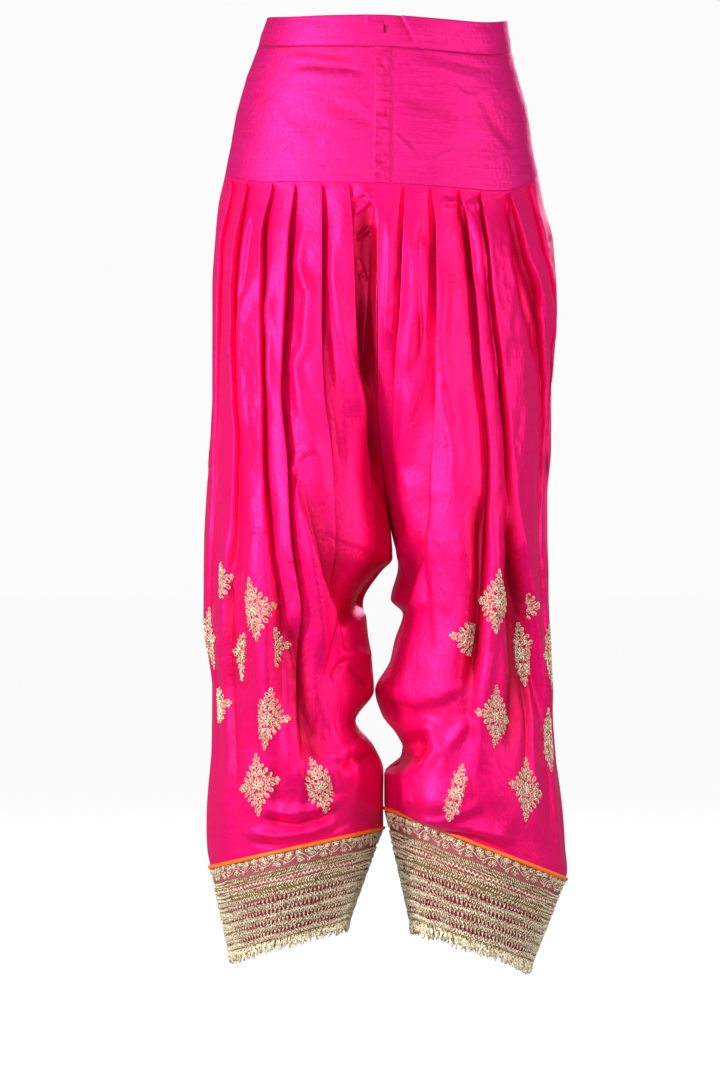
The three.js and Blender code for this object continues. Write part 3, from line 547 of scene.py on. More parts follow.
def yoke_piece(name, u_left, u_right, solid, seed):
    """One piece of the yoke over shares of the left side, the right side or both."""
    halves = [half_ring(side, YOKE_TOP, YOKE_BOTTOM, u, YOKE_ROWS)
              for side, u in ((LEFT, u_left), (RIGHT, u_right)) if u is not None]
    grid = np.concatenate([halves[0]] + [half[:, 1:] for half in halves[1:]], 1)
    normals = grid_normals(grid, False, False)
    down = np.linspace(0, 1, YOKE_ROWS + 1)[:, None]
    slack = sum(high * smooth_noise(grid.shape[:2], cells, seed + n)
                for n, (high, cells) in enumerate(YOKE_SLACK))
    creases = crease_rise(YOKE_CREASES, grid[..., 0], grid[..., 2]) * (grid[..., 1] < 0)
    rise = (slack + creases) * np.sin(np.pi * down) ** 0.5
    # Painted shade: darker in the troughs of the creases and slack, and along the top edge under
    # the waistband.
    painted_fold_shade = 0.5 + YOKE_PAINTED_SHADE * (creases + slack - np.exp(-(down / 0.03) ** 2))
    points = grid + normals * rise[..., None]
    points[0] += [0, 0, TUCKED_UP] - normals[0] * TUCKED_IN
    piece = sheet_grid(name, points, silk_yoke, wall=YOKE_WALL, painted_fold_shade=painted_fold_shade)
    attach(piece, "root")
    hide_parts(solid)


to_side, to_back = np.linspace(0, 0.5, FRONT_COLUMNS), np.linspace(0.5, 1, BACK_COLUMNS)
yoke_piece("yoke_front_left_cloth", to_side, None, "yoke_front_left", 21)
yoke_piece("yoke_front_right_cloth", None, to_side[::-1], "yoke_front_right", 25)
yoke_piece("yoke_back_cloth", to_back, to_back[::-1], "yoke_back", 31)


def placket():
    """The strip over the centre front, with small puckers between its two stitch lines."""
    u = np.linspace(0, STRIP_EDGE, 9)
    right = half_ring(RIGHT, YOKE_TOP, YOKE_BOTTOM, u[::-1], STRIP_ROWS, STRIP_LIFT)
    left = half_ring(LEFT, YOKE_TOP, YOKE_BOTTOM, u, STRIP_ROWS, STRIP_LIFT)
    grid = np.concatenate([right, left[:, 1:]], 1)
    normals = grid_normals(grid, False, False)
    across = np.linspace(-1, 1, grid.shape[1])[None, :]
    pucker = PUCKER * smooth_noise(grid.shape[:2], PUCKER_CELLS, 5) * (1 - across ** 2)
    edge = -0.9 * np.clip((np.abs(across) - 0.7) / 0.3, 0, 1) ** 2
    stitched = -0.3 * np.exp(-((np.abs(across) - 0.78) / 0.1) ** 2)
    rise = pucker + edge + stitched
    # Painted shade: darker in the puckers' hollows and along the stitch lines, and a little darker
    # all over.
    painted_fold_shade = 0.44 + 0.16 * (pucker + stitched)
    return sheet_grid("placket", grid + normals * rise[..., None], silk_yoke, wall=STRIP_WALL,
                      painted_fold_shade=painted_fold_shade)


strip = placket()
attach(strip, "root")
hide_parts("placket_strip")

# Legs: two wide silk satin panels each side, front and back, folded into knife pleats at the
# yoke with every fold edge towards the middle. Below, the pleats open into long soft folds
# that hang over the crotch, swing round the knee and pouch above the cuff.
FOLD_LEVELS = (-165, -220, -290, -370, -450, -530, -610, -700, -790, -850)
FOLDS = {  # rows of (distances out from the middle at the fold levels, depths there)
    (RIGHT, "front"): [
        ((37, 34, 31, 22, 14, 12, 34, 44, 28, 26), (3, 6, 8, 9, 7, 4, 0, 0, 0, 0)),
        ((65, 66, 66, 63, 51, 46, 50, 62, 50, 48), (3, 8, 9, 9, 8, 7, 3, 0, 0, 0)),
        ((93, 101, 104, 108, 100, 94, 82, 84, 80, 78), (3, 9, 10, 9, 9, 9, 7, 4, 2, 0)),
        ((116, 129, 129, 126, 125, 117, 106, 106, 108, 106), (3, 8, 7, 7, 8, 8, 8, 5, 3, 0)),
        ((143, 155, 160, 156, 155, 156, 162, 158, 150, 150), (3, 7, 7, 6, 5, 6, 5, 4, 2, 0)),
        ((159, 171, 174, 174, 176, 180, 182, 174, 174, 176), (3, 4, 4, 3, 3, 3, 3, 2, 0, 0))],
    (RIGHT, "back"): [
        ((26, 25, 24, 20, 16, 14, 36, 46, 30, 28), (3, 6, 8, 8, 6, 3, 0, 0, 0, 0)),
        ((52, 55, 57, 55, 50, 48, 58, 66, 56, 52), (3, 8, 9, 9, 8, 6, 4, 2, 0, 0)),
        ((79, 86, 92, 96, 93, 90, 86, 88, 84, 80), (3, 9, 9, 9, 9, 8, 7, 4, 3, 0)),
        ((105, 115, 120, 124, 122, 118, 114, 112, 110, 108), (3, 8, 8, 8, 8, 8, 6, 5, 2, 0)),
        ((130, 143, 150, 152, 150, 150, 150, 144, 140, 138), (3, 7, 8, 7, 6, 5, 4, 3, 2, 0)),
        ((151, 165, 171, 172, 174, 176, 176, 170, 170, 172), (3, 5, 4, 4, 3, 3, 2, 1, 0, 0))],
    (LEFT, "front"): [
        ((22, 20, 17, 10, 9, 15, 22, 22, 25, 30), (3, 8, 9, 8, 5, 2, 0, 0, 0, 0)),
        ((49, 55, 54, 52, 46, 40, 46, 48, 52, 56), (3, 8, 9, 8, 7, 4, 1, 0, 0, 0)),
        ((77, 91, 97, 103, 109, 106, 96, 88, 90, 92), (3, 9, 10, 9, 9, 9, 7, 5, 4, 0)),
        ((99, 107, 114, 124, 130, 136, 148, 150, 144, 142), (3, 9, 10, 9, 8, 7, 6, 5, 3, 0)),
        ((129, 144, 163, 168, 166, 160, 164, 167, 170, 174), (3, 9, 8, 5, 3, 2, 3, 2, 2, 0)),
        ((153, 166, 175, 174, 172, 169, 171, 174, 180, 186), (3, 4, 3, 2, 2, 2, 2, 1, 0, 0))],
    (LEFT, "back"): [
        ((24, 23, 20, 14, 12, 22, 36, 22, 28, 32), (3, 7, 8, 8, 5, 2, 0, 0, 0, 0)),
        ((50, 56, 58, 56, 52, 50, 56, 50, 54, 56), (3, 8, 9, 9, 8, 7, 5, 3, 0, 0)),
        ((77, 88, 94, 98, 100, 98, 92, 86, 86, 88), (3, 9, 9, 9, 8, 8, 6, 5, 3, 0)),
        ((101, 114, 122, 126, 126, 126, 124, 120, 120, 122), (3, 8, 9, 8, 8, 6, 6, 4, 3, 0)),
        ((126, 143, 153, 154, 152, 148, 146, 146, 150, 152), (3, 8, 7, 6, 5, 5, 4, 4, 2, 0)),
        ((149, 166, 173, 171, 169, 166, 166, 170, 174, 178), (3, 5, 4, 3, 3, 2, 2, 1, 0, 0))],
}
SMALLEST_FOLD_SPACING = 0.028
FOLD_EDGE = [(-165, 0.03), (-300, 0.045), (-450, 0.075), (-600, 0.18), (-850, 0.4)]
OVERHANG = [(-165, 3.0), (-300, 4.6), (-430, 3.8), (-560, 1.6), (-640, 0)]
SWAGS = [  # side, face, distance out, z, half width, half height, rise, steepness below
    (RIGHT, "front", 22, -540, 46, 56, 7.5, 1.8), (RIGHT, "front", 60, -770, 60, 48, 7, 1.4),
    (LEFT, "front", 36, -680, 46, 62, 5.5, 1.2), (LEFT, "front", 62, -792, 48, 34, 10, 1.8),
    (RIGHT, "back", 60, -640, 60, 60, 9, 1.6), (RIGHT, "back", 90, -790, 64, 40, 8, 1.6),
    (LEFT, "back", 64, -650, 60, 62, 9, 1.6), (LEFT, "back", 96, -780, 64, 40, 8, 1.6),
]
CREASES = {
    (RIGHT, "front"): ([
        (7, 3.0, -133, -243, -149, -295, -154, -327, -150, -379, -146, -430),
        (5, 2.4, -116, -223, -118, -264, -126, -290, -118, -328, -117, -401),
        (7, 3.4, -80, -192, -90, -245, -78, -277, -82, -329, -92, -349, -86, -386, -77, -437),
        (7, 3.4, -54, -209, -54, -258, -44, -318, -29, -370, -21, -433),
        (4, -2.0, -62, -300, -54, -360, -44, -420, -38, -470),
        (13, -8.0, -20, -172, -18, -220, -18, -290, -14, -390),
        (9, -4.0, -17, -270, -14, -360, -10, -420, -2, -480),
        (5, -5.0, -8, -185, -7, -260, -7, -360, -6, -430, 0, -500),
        (3, 1.8, -33, -196, -22, -187, -13, -178), (3, -1.6, -32, -222, -22, -214, -12, -208),
        (2.5, 1.5, -30, -238, -22, -252, -16, -266), (2.5, -1.2, -28, -262, -20, -256, -12, -262),
        (4, 1.8, -98, -466, -92, -448, -80, -437, -66, -432),
        (8, 5.0, -90, -462, -84, -517, -73, -585, -64, -641, -58, -672),
        (12, -7.0, -95, -600, -91, -641, -82, -705, -64, -768),
        (14, 5.5, -131, -500, -131, -600, -120, -691, -96, -790),
        (3, -2.2, -37, -650, -46, -660, -54, -673), (3, -2.2, -37, -655, -26, -670, -15, -680),
        (5, 2.4, -46, -648, -30, -644, -16, -654), (4, -2.6, -49, -768, -37, -754, -12, -751),
        (5, 2.2, -60, -757, -44, -742, -20, -738),
        (4, -3.2, -128, -812, -106, -819, -90, -821, -66, -814, -45, -801),
        (6, 3.0, -126, -803, -96, -810, -66, -804, -40, -791),
        (4, -3.6, -143, -838, -110, -844, -77, -842, -50, -828, -30, -814),
        (6, 3.4, -146, -829, -108, -834, -76, -832, -44, -815),
        (3, -1.0, -140, -516, -128, -520, -118, -516),
        (5, -2.0, -162, -560, -158, -620, -150, -690),
        (4, 1.8, -166, -500, -160, -560, -152, -640),
    ], [
        (10, -2.2, -138, -190, -146, -240, -152, -290),
        (8, 1.6, -36, -181, -20, -176, -10, -190, -14, -214),
        (18, -6.0, -87, -462, -83, -494, -72, -529, -62, -570, -47, -612, -39, -653),
        (32, 4.2, 12, -540, 8, -553, -3, -570, -16, -594, -32, -612, -52, -622),
    ]),
    (LEFT, "front"): ([
        (6, 2.6, 2, -193, 6, -231, 4, -288, -1, -340), (3, -1.4, 14, -252, 8, -280, 2, -312),
        (5, 2.8, 28, -215, 33, -240, 32, -290, 26, -330, 20, -380),
        (3, -2.2, 35, -196, 34, -240, 36, -310, 38, -350), (5, 2.6, 40, -215, 42, -260, 45, -320),
        (7, 3.6, 58, -230, 62, -270, 58, -330, 64, -390, 72, -440, 66, -500),
        (2.5, -1.8, 61, -366, 66, -392, 70, -414),
        (9, 3.2, 28, -350, 22, -420, 18, -480, 22, -520),
        (5, -3.2, 134, -215, 144, -262, 156, -312, 162, -350),
        (5, 2.4, 165, -225, 171, -260, 174, -330), (4, 2.0, 58, -181, 68, -184, 78, -180),
        (4, 2.0, 86, -188, 94, -182, 100, -190), (7, 3.0, 25, -452, 27, -512, 15, -562),
        (12, -6.0, 97, -470, 100, -567, 95, -641, 76, -692),
        (9, 6.2, 114, -492, 111, -554, 107, -616, 98, -690, 92, -766, 98, -806),
        (10, -6.2, 133, -530, 137, -600, 139, -667, 128, -760),
        (7, 4.0, 30, -712, 50, -722, 57, -741, 47, -757, 22, -765),
        (8, -4.0, 20, -730, 38, -736, 34, -748, 16, -752), (6, 3.0, 62, -770, 66, -740, 88, -708),
        (5, 3.0, 40, -806, 66, -808, 92, -800, 97, -790), (5, 2.4, 60, -836, 84, -842, 118, -852),
        (4, 1.6, 40, -783, 30, -790, 20, -800),
    ], [
        (8, 2.0, 100, -200, 105, -247, 112, -283, 116, -324, 121, -380),
        (10, 2.6, 127, -170, 135, -194, 145, -230, 159, -270, 169, -311),
        (12, 2.6, 78, -178, 90, -206, 96, -232, 98, -273),
        (16, 3.0, 49, -430, 48, -470, 46, -505, 41, -540, 33, -570, 25, -600, 16, -640, 5, -672),
        (14, 5.0, 127, -474, 140, -542, 150, -592, 161, -680, 166, -730),
        (26, 2.4, -8, -676, 10, -692, 34, -700, 60, -694, 84, -676),
        (16, 10.0, 30, -815, 45, -817, 78, -824, 104, -834, 130, -848),
    ]),
    (RIGHT, "back"): ([
        (7, 3.0, -128, -240, -138, -300, -140, -380, -134, -450),
        (6, 2.8, -70, -210, -78, -260, -70, -320, -74, -400),
        (7, 3.2, -40, -200, -44, -270, -34, -340, -26, -420),
        (9, -4.6, -95, -480, -92, -560, -82, -640, -66, -720),
        (9, 4.6, -112, -470, -110, -560, -100, -650, -84, -740),
        (5, -3.4, -140, -820, -100, -832, -60, -822, -36, -804),
        (7, 3.2, -140, -808, -98, -820, -58, -810), (4, -2.0, -50, -680, -66, -694, -84, -700),
    ], [
        (26, 4.6, -34, -610, -56, -630, -84, -642, -112, -636),
    ]),
    (LEFT, "back"): ([
        (7, 3.0, 34, -205, 38, -270, 30, -350, 34, -430),
        (6, 2.8, 64, -215, 72, -280, 66, -350, 74, -430),
        (7, 3.0, 120, -250, 134, -310, 138, -390, 130, -470),
        (10, -5.0, 92, -490, 98, -570, 92, -650, 76, -720),
        (9, 4.8, 112, -480, 114, -570, 106, -660, 94, -750),
        (5, -3.4, 36, -806, 66, -826, 106, -838, 146, -828),
        (7, 3.2, 40, -796, 70, -814, 106, -824),
    ], [
        (26, 4.6, 30, -620, 52, -640, 80, -650, 112, -640),
    ]),
}
ROLL = {"out": 50, "half_width": 34, "rise": 9.0, "fall": 13.0, "down": 0.955, "reach": 0.05}
CUFF_TOP = {RIGHT: (-829, -870), LEFT: (-808, -883)}  # inner and outer side of the leg
CUFF_BOTTOM = {RIGHT: (-927, -962), LEFT: (-928, -973)}
SEAM_LIFT = 5.0
HEM_LEVEL = -845
LEG_TOP = -163.8
BLOUSE_RISE = 2.8
TUCK = 2.6
CREASE_STRENGTH = 1.6
DEPTH_STRENGTH = 1.3
SILK_COLOUR = (0.84, 0.0, 0.105)
SILK_LIGHT = (1.0, 0.004, 0.20)
SILK_GLOSS = (0.36, 0.4, 0.6, (1.0, 0.25, 0.85))
SILK_THREADS = (0.3, 0.25, 0.9)
SILK_WAVES = [(1.7, (9, 14)), (0.6, (24, 26)), (0.8, (64, 50))]  # height, cells; last in patches
PATCHES = (8, 8)


def slanting_seam(ends, u):
    """Height of a cuff seam: the inner and outer heights mixed by (1 - cos 2 pi u) / 2, with
    the front higher than the back by twice the lift, as sin 2 pi u."""
    outer = (1 - np.cos(2 * np.pi * u)) / 2
    return (1 - outer) * ends[0] + outer * ends[1] + SEAM_LIFT * np.sin(2 * np.pi * u)


def row_height(side, u, down):
    """Height of a leg row: level, bent to the yoke seam at its top and the cuff at its hem."""
    level = LEG_TOP + (HEM_LEVEL - LEG_TOP) * down * (0.8 + 0.2 * down)
    top_bend = cross_seam(YOKE_SEAM[side], u) - YOKE_SEAM[side][0]
    hem_bend = slanting_seam(CUFF_TOP[side], u) + 0.3 - HEM_LEVEL
    return (level + top_bend * (1 - smoothstep(down / 0.3))
            + hem_bend * smoothstep((down - 0.56) / 0.44))


def share_at(side, distance, z):
    """Share u of the front half where the body lies that far out, found by halving."""
    low, high = np.zeros_like(z), np.full_like(z, 0.5)
    for _ in range(22):
        half = (low + high) / 2
        nearer = body(side, half, z)[..., 0] * side < distance
        low, high = np.where(nearer, half, low), np.where(nearer, high, half)
    return (low + high) / 2


def fold_lines(side, face, levels):
    """Shares u and depths of the fold lines at each level, kept in order and apart."""
    folds = FOLDS[side, face]
    shares, depths = [np.zeros_like(levels)], [np.zeros_like(levels)]
    for distances, depth in folds:
        distance = curve(list(zip(FOLD_LEVELS, distances)), levels)
        u = share_at(side, distance, levels)
        shares.append(np.maximum(u, shares[-1] + SMALLEST_FOLD_SPACING))
        depths.append(curve(list(zip(FOLD_LEVELS, depth)), levels))
    widest = 0.5 - SMALLEST_FOLD_SPACING
    for i in range(len(folds), 0, -1):
        shares[i] = np.minimum(shares[i], widest - SMALLEST_FOLD_SPACING * (len(folds) - i))
    shares.append(np.full_like(levels, 0.5))
    depths.append(np.zeros_like(levels))
    return np.array(shares), np.array(depths)


def divider(z):
    """The upright surface between the legs that neither leg crosses."""
    between = (curve(INNER_OUTLINE[RIGHT], z) + curve(INNER_OUTLINE[LEFT], z)) / 2
    return np.where(z >= CROTCH_LEVEL, curve(CENTRE_SEAM, z), between)


def leg_panel(side, face, rows, steps):
    """Grid of one leg panel. Across each pleat, t runs from its fold line outwards: the cloth
    climbs steeply from the crevice to the fold edge, which hangs over it, and then sinks to
    the next fold line as t to the power 2.4. All four edges turn in behind their neighbours."""
    folds = len(FOLDS[side, face])
    within = np.linspace(0, 1, steps + 1)[:-1] ** 1.5
    t = np.append(np.tile(within, folds + 1), 1.0)
    pleat = np.append(np.repeat(np.arange(folds + 1), steps), folds)
    down = np.linspace(0, 1, rows)[:, None]
    levels = np.linspace(-900, -140, 300)
    shares, depths = fold_lines(side, face, levels)

    def at_pleats(lines, z, after=0):
        """Each column's value on its own fold line at its height, or on a line after it."""
        values = np.stack([np.interp(z, levels, line) for line in lines])
        return np.take_along_axis(values, np.broadcast_to(pleat + after, z.shape)[None], 0)[0]

    u = np.broadcast_to(0.5 * (pleat + t) / (folds + 1), (rows, len(t)))
    for _ in range(3):
        z = row_height(side, u if face == "front" else 1 - u, down)
        here = at_pleats(shares, z)
        u = here + (at_pleats(shares, z, 1) - here) * t
    depth = at_pleats(depths, z) * DEPTH_STRENGTH
    next_depth = at_pleats(depths, z, 1) * DEPTH_STRENGTH
    around = u if face == "front" else 1 - u
    base = body(side, around, z)
    climb = smoothstep(t / curve(FOLD_EDGE, z))
    rise = -depth * (1 - climb) - next_depth * t ** 2.4 + 0.15 * depth * climb * (1 - t) ** 3
    distance = base[..., 0] * side
    hem_ease = smoothstep((1 - down) / 0.06)
    for swag in SWAGS:
        if swag[:2] == (side, face):
            _, _, out, level, width, height, top, steep = swag
            along = (z - level) / height * np.where(z < level, steep, 1)
            rise = rise + top * np.exp(-1.6 * (((distance - out) / width) ** 2 + along ** 2)
                                       ) * hem_ease
    creases = crease_rise(CREASES[side, face], base[..., 0], z) * smoothstep((1 - down) / 0.02)
    seed = 40 + (side > 0) + 2 * (face == "back")
    soft = smoothstep(down / 0.1) * smoothstep((1 - down) / 0.05)
    width = np.clip(2 * u, 0, 1)
    waves = [high * smooth_noise(z.shape, cells, seed + 10 * n, width)
             for n, (high, cells) in enumerate(SILK_WAVES)]
    patches = np.clip(smooth_noise(z.shape, PATCHES, seed + 30, width) + 0.25, 0, 1)
    wave = waves[0] + waves[1] + waves[2] * patches
    # Painted shade: low in the crevices under the fold edges and in the troughs of the creases.
    tone = -1.25 * depth * (1 - climb) - 0.5 * next_depth * t ** 4 + CREASE_STRENGTH * creases
    rise = rise + soft * wave
    edges = smoothstep(u / 0.06) * smoothstep((0.5 - u) / 0.04)
    blouse = BLOUSE_RISE * np.sin(np.pi * np.clip((down - 0.86) / 0.14, 0, 1))
    crease_ease = smoothstep(u / 0.018) * smoothstep((0.5 - u) / 0.03)
    sewn = 0.15 + 0.85 * smoothstep(down / 0.014)
    rise = rise * edges * sewn + CREASE_STRENGTH * creases * crease_ease
    rise = rise + blouse * smoothstep(u / 0.06)
    along = unit(chord(side, around, z))
    towards_middle = -along if face == "front" else along
    lean = curve(OVERHANG, z) * np.minimum(depth / 6, 1) * climb * np.exp(-t * 7) * edges
    out = outwards(side, around, z)
    points = base + out * rise[..., None] + towards_middle * lean[..., None]
    if (side, face) == (LEFT, "front"):
        roll = (np.exp(-((distance - ROLL["out"]) / ROLL["half_width"]) ** 2)
                * np.exp(-((down - ROLL["down"]) / ROLL["reach"]) ** 2) * (down < 1))
        points = points + out * (ROLL["rise"] * roll)[..., None]
        points[..., 2] -= ROLL["fall"] * roll
    limit = divider(points[..., 2]) * side + 0.15
    points[..., 0] = np.maximum(points[..., 0] * side, limit) * side
    above_crotch = smoothstep((z[:, :1] - CROTCH_LEVEL + 10) / 20)[..., None]
    behind = np.array([1.6 if side == RIGHT else 0, TUCK if face == "front" else -TUCK, 0])
    inner = points[:, :1] + above_crotch * behind - (1 - above_crotch) * out[:, :1] * TUCK
    points = np.concatenate([inner, points, points[:, -1:] - out[:, -1:] * TUCK], 1)
    out = np.concatenate([out[:, :1], out, out[:, -1:]], 1)
    top = points[:1] - out[:1] * 1.6 + [0, 0, 3.0]
    hem = points[-1:] - out[-1:] * 1.2 - [0, 0, 2.0]
    # Painted shade: the tone becomes the shade attribute, darker still on the top row under the
    # yoke and the hem row inside the cuff.
    painted_fold_shade = np.clip(0.5 + tone / 30, 0, 1)
    painted_fold_shade = np.concatenate([painted_fold_shade[:, :1], painted_fold_shade, painted_fold_shade[:, -1:]], 1)
    painted_fold_shade = np.concatenate([painted_fold_shade[:1] * 0.4, painted_fold_shade, painted_fold_shade[-1:] * 0.8], 0)
    return np.concatenate([top, points, hem], 0), painted_fold_shade


silk_legs = woven_silk("silk_satin", SILK_COLOUR, SILK_LIGHT, SILK_GLOSS, SILK_THREADS)
SIDE_WORD = {RIGHT: "right", LEFT: "left"}
GRID_SIZE = {"front": (280, 29), "back": (160, 18)}
panels, leg_pieces = {}, {}
for side in (RIGHT, LEFT):
    for face in ("front", "back"):
        grid, painted_fold_shade = leg_panel(side, face, *GRID_SIZE[face])
        turned = side * (1 if face == "front" else -1) < 0
        panels[side, face] = grid, grid_normals(grid, turned, False)
        piece = sheet_grid(f"leg_{face}_{SIDE_WORD[side]}_silk", grid, silk_legs, turned=turned,
                           painted_fold_shade=painted_fold_shade)
        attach(piece, "root")
        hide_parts(f"leg_{face}_{SIDE_WORD[side]}")
        leg_pieces[side, face] = piece

# Buta motifs: diamond sprigs of gold thread loops scattered over the lower legs, laid on the
# silk before pleating, so some run into the folds. A rosette, leaf pairs and four tips each.
BUTA_WIDTH, BUTA_HEIGHT = 52, 66
LOOP_THREAD = 1.2
THREAD_LIFT = 0.25
WHOLE = (-40, 40, -40, 40)
BUTAS = {  # centres (x, z), turn in degrees, and the part of it, across and up, that no fold hides
    (RIGHT, "front"): [(-134, -598, 8, (-11, 40, -40, 40)), (-169, -570, 10, (0, 40, -19, 19)),
                       (-143, -648, -14, (-40, 4, -26, 24)), (-117, -640, 4, (4, 40, -20, 20)),
                       (-121, -711, -8, (-10, 40, -40, 40)), (-169, -700, 6, (-14, 40, -17, 19)),
                       (-130, -781, 2, WHOLE), (-66, -782, 12, (-14, 12, -40, 40)),
                       (-179, -632, 0, WHOLE)],
    (LEFT, "front"): [(114, -592, 0, WHOLE), (89, -630, -4, (-40, 1, -17, 17)),
                      (138, -596, 4, (8, 40, -14, 14)), (141, -646, 2, (-11, 11, -40, 40)),
                      (112, -709, 0, WHOLE), (169, -735, 4, (-12, 40, -40, 40)),
                      (145, -785, 0, WHOLE), (73, -787, -14, (-8, 8, -40, 40)),
                      (171, -650, 0, WHOLE)],
    (RIGHT, "back"): [(-60, -610, 4, WHOLE), (-110, -600, -6, (-14, 40, -40, 40)),
                      (-156, -650, 4, (-40, 10, -40, 40)), (-84, -690, 0, WHOLE),
                      (-132, -730, 6, (-9, 40, -40, 40)), (-50, -770, -4, (-40, 12, -40, 40)),
                      (-100, -790, 0, WHOLE)],
    (LEFT, "back"): [(62, -612, -4, (-40, 12, -40, 40)), (112, -598, 6, WHOLE),
                     (158, -655, -4, (-10, 40, -40, 40)), (86, -692, 0, WHOLE),
                     (134, -728, -6, (-40, 10, -40, 40)), (54, -776, 4, WHOLE),
                     (104, -792, 0, (-12, 40, -40, 40))],
}
# The gold thread's own colour, between painted shade near black and painted glints near white,
# spread by noise.
ZARI_SHADE_AND_GLINTS = [(0.37, (0.10, 0.03, 0.006)), (0.42, (0.90, 0.56, 0.26)), (0.52, (1.0, 0.96, 0.74))]


def tube(paths, radius, sides, closed):
    """Threads along paths in the cloth's plane: at each station the circle r (cos a n + sin a
    up), with n square to the path. Open ends of four corners are shut by one flat face each."""
    paths = np.asarray(paths, float)
    paths = paths.reshape(-1, *paths.shape[-2:])
    number, count = paths.shape[:2]
    radius = np.broadcast_to(radius, (number, count))
    along = unit(run_of(paths, closed))
    beside = unit(np.cross(np.broadcast_to([0, 0, 1.0], along.shape), along))
    up = np.cross(along, beside)
    angle = 2 * np.pi * np.arange(sides)[:, None] / sides
    ring = np.cos(angle) * beside[:, :, None] + np.sin(angle) * up[:, :, None]
    vertices = (paths[:, :, None] + ring * radius[:, :, None, None]).reshape(-1, 3)
    station = np.arange(count if closed else count - 1)[:, None]
    side = np.arange(sides)[None, :]
    a, b = station * sides + side, station * sides + (side + 1) % sides
    after_a, after_b = (a + sides) % (count * sides), (b + sides) % (count * sides)
    faces = np.stack([a, b, after_b, after_a], -1).reshape(-1, 4)
    if not closed:
        last = (count - 1) * sides
        faces = np.concatenate([faces, [[3, 2, 1, 0], [last, last + 1, last + 2, last + 3]]])
    starts = count * sides * np.arange(number)[:, None, None]
    return vertices, (faces[None] + starts).reshape(-1, 4)


def leaf_loop(length, width, thread, stations=7):
    """A pointed ring of thread: x = length/2 cos a, y = width/2 sin a |sin a|^0.3."""
    angle = 2 * np.pi * np.arange(stations) / stations
    path = np.stack([length / 2 * np.cos(angle),
                     width / 2 * np.sin(angle) * np.abs(np.sin(angle)) ** 0.3,
                     np.full(stations, thread * 0.8)], -1)
    return tube(path, thread / 2, 3, True)


def stitch(length, thread, lift=0.8):
    """A short straight thread, thin at its ends and lifted in its middle."""
    at = np.array([-0.5, 0, 0.5])
    path = np.stack([at * length, 0 * at, thread * lift * np.array([0.3, 1, 0.3])], -1)
    return tube(path, thread / 2 * np.array([0.7, 1, 0.7]), 4, False)


def scatter(template, places, turns, scales=1.0):
    """Copies of a template shape turned in the cloth's plane, scaled and moved to places."""
    vertices, faces = template
    places = np.asarray(places, float)
    turns = np.broadcast_to(turns, (len(places),))
    scales = np.broadcast_to(scales, (len(places),))
    cos, sin = np.cos(turns)[:, None], np.sin(turns)[:, None]
    x, y, z = (vertices[None] * scales[:, None, None]).transpose(2, 0, 1)
    copies = np.stack([x * cos - y * sin + places[:, :1], x * sin + y * cos + places[:, 1:2], z],
                      -1)
    starts = len(vertices) * np.arange(len(places))[:, None, None]
    return copies.reshape(-1, 3), (faces[None] + starts).reshape(-1, 4)


def gather(shapes):
    """Several shapes as one list of vertices and faces."""
    starts = np.cumsum([0] + [len(points) for points, _ in shapes[:-1]])
    return (np.concatenate([points for points, _ in shapes]),
            np.concatenate([faces + start for (_, faces), start in zip(shapes, starts)]))


def kept(vertices, faces, part):
    """The faces of a shape whose middle lies in a part of it, across and up, and their own
    corners."""
    x, y = vertices[faces, :2].mean(1).T
    inside = (x > part[0]) & (x < part[1]) & (y > part[2]) & (y < part[3])
    used, index = np.unique(faces[inside], return_inverse=True)
    return vertices[used], index.reshape(-1, 4)


def buta():
    """One diamond sprig, width x height: eight rosette loops round the centre, pairs of leaf
    loops along the four arms, loops between the arms along the diamond's sides, and tips."""
    leaf = gather([leaf_loop(7.4, 4.0, LOOP_THREAD), stitch(3.6, 0.9, 0.2)])
    small = gather([leaf_loop(5.8, 3.5, LOOP_THREAD), stitch(2.6, 0.9, 0.2)])
    around = 2 * np.pi * np.arange(8) / 8
    shapes = [scatter(leaf, np.stack([4.6 * np.cos(around), 4.6 * np.sin(around)], -1), around),
              scatter(leaf_loop(2.6, 2.4, LOOP_THREAD, 6), [(0, 0)], 0.0)]
    for reach, arm in ((BUTA_HEIGHT / 2, np.pi / 2), (BUTA_HEIGHT / 2, -np.pi / 2),
                       (BUTA_WIDTH / 2, 0.0), (BUTA_WIDTH / 2, np.pi)):
        along = np.arange(11.5, reach - 4, 4.8)
        for hand in (-1, 1):
            spread = 2.7 * hand * (1 - 0.25 * along / reach)
            turn = arm + hand * 0.62
            places = np.stack([along * np.cos(arm) - spread * np.sin(arm),
                               along * np.sin(arm) + spread * np.cos(arm)], -1)
            shapes.append(scatter(small, places, turn, 1.05 - 0.25 * along / reach))
        tip = [((reach - 2.4) * np.cos(arm), (reach - 2.4) * np.sin(arm))]
        shapes.append(scatter(small, tip, arm, 0.9))
    for right in (-1, 1):
        for up in (-1, 1):
            share = np.array([0.3, 0.5, 0.7])
            for inset, size in ((0.80, 1.0), (0.54, 0.95)):
                x = right * BUTA_WIDTH / 2 * share * inset
                y = up * BUTA_HEIGHT / 2 * (1 - share) * inset
                turn = np.arctan2(up * 1.0, right * 0.75)
                shapes.append(scatter(small, np.stack([x, y], -1), turn, size))
    return gather(shapes)


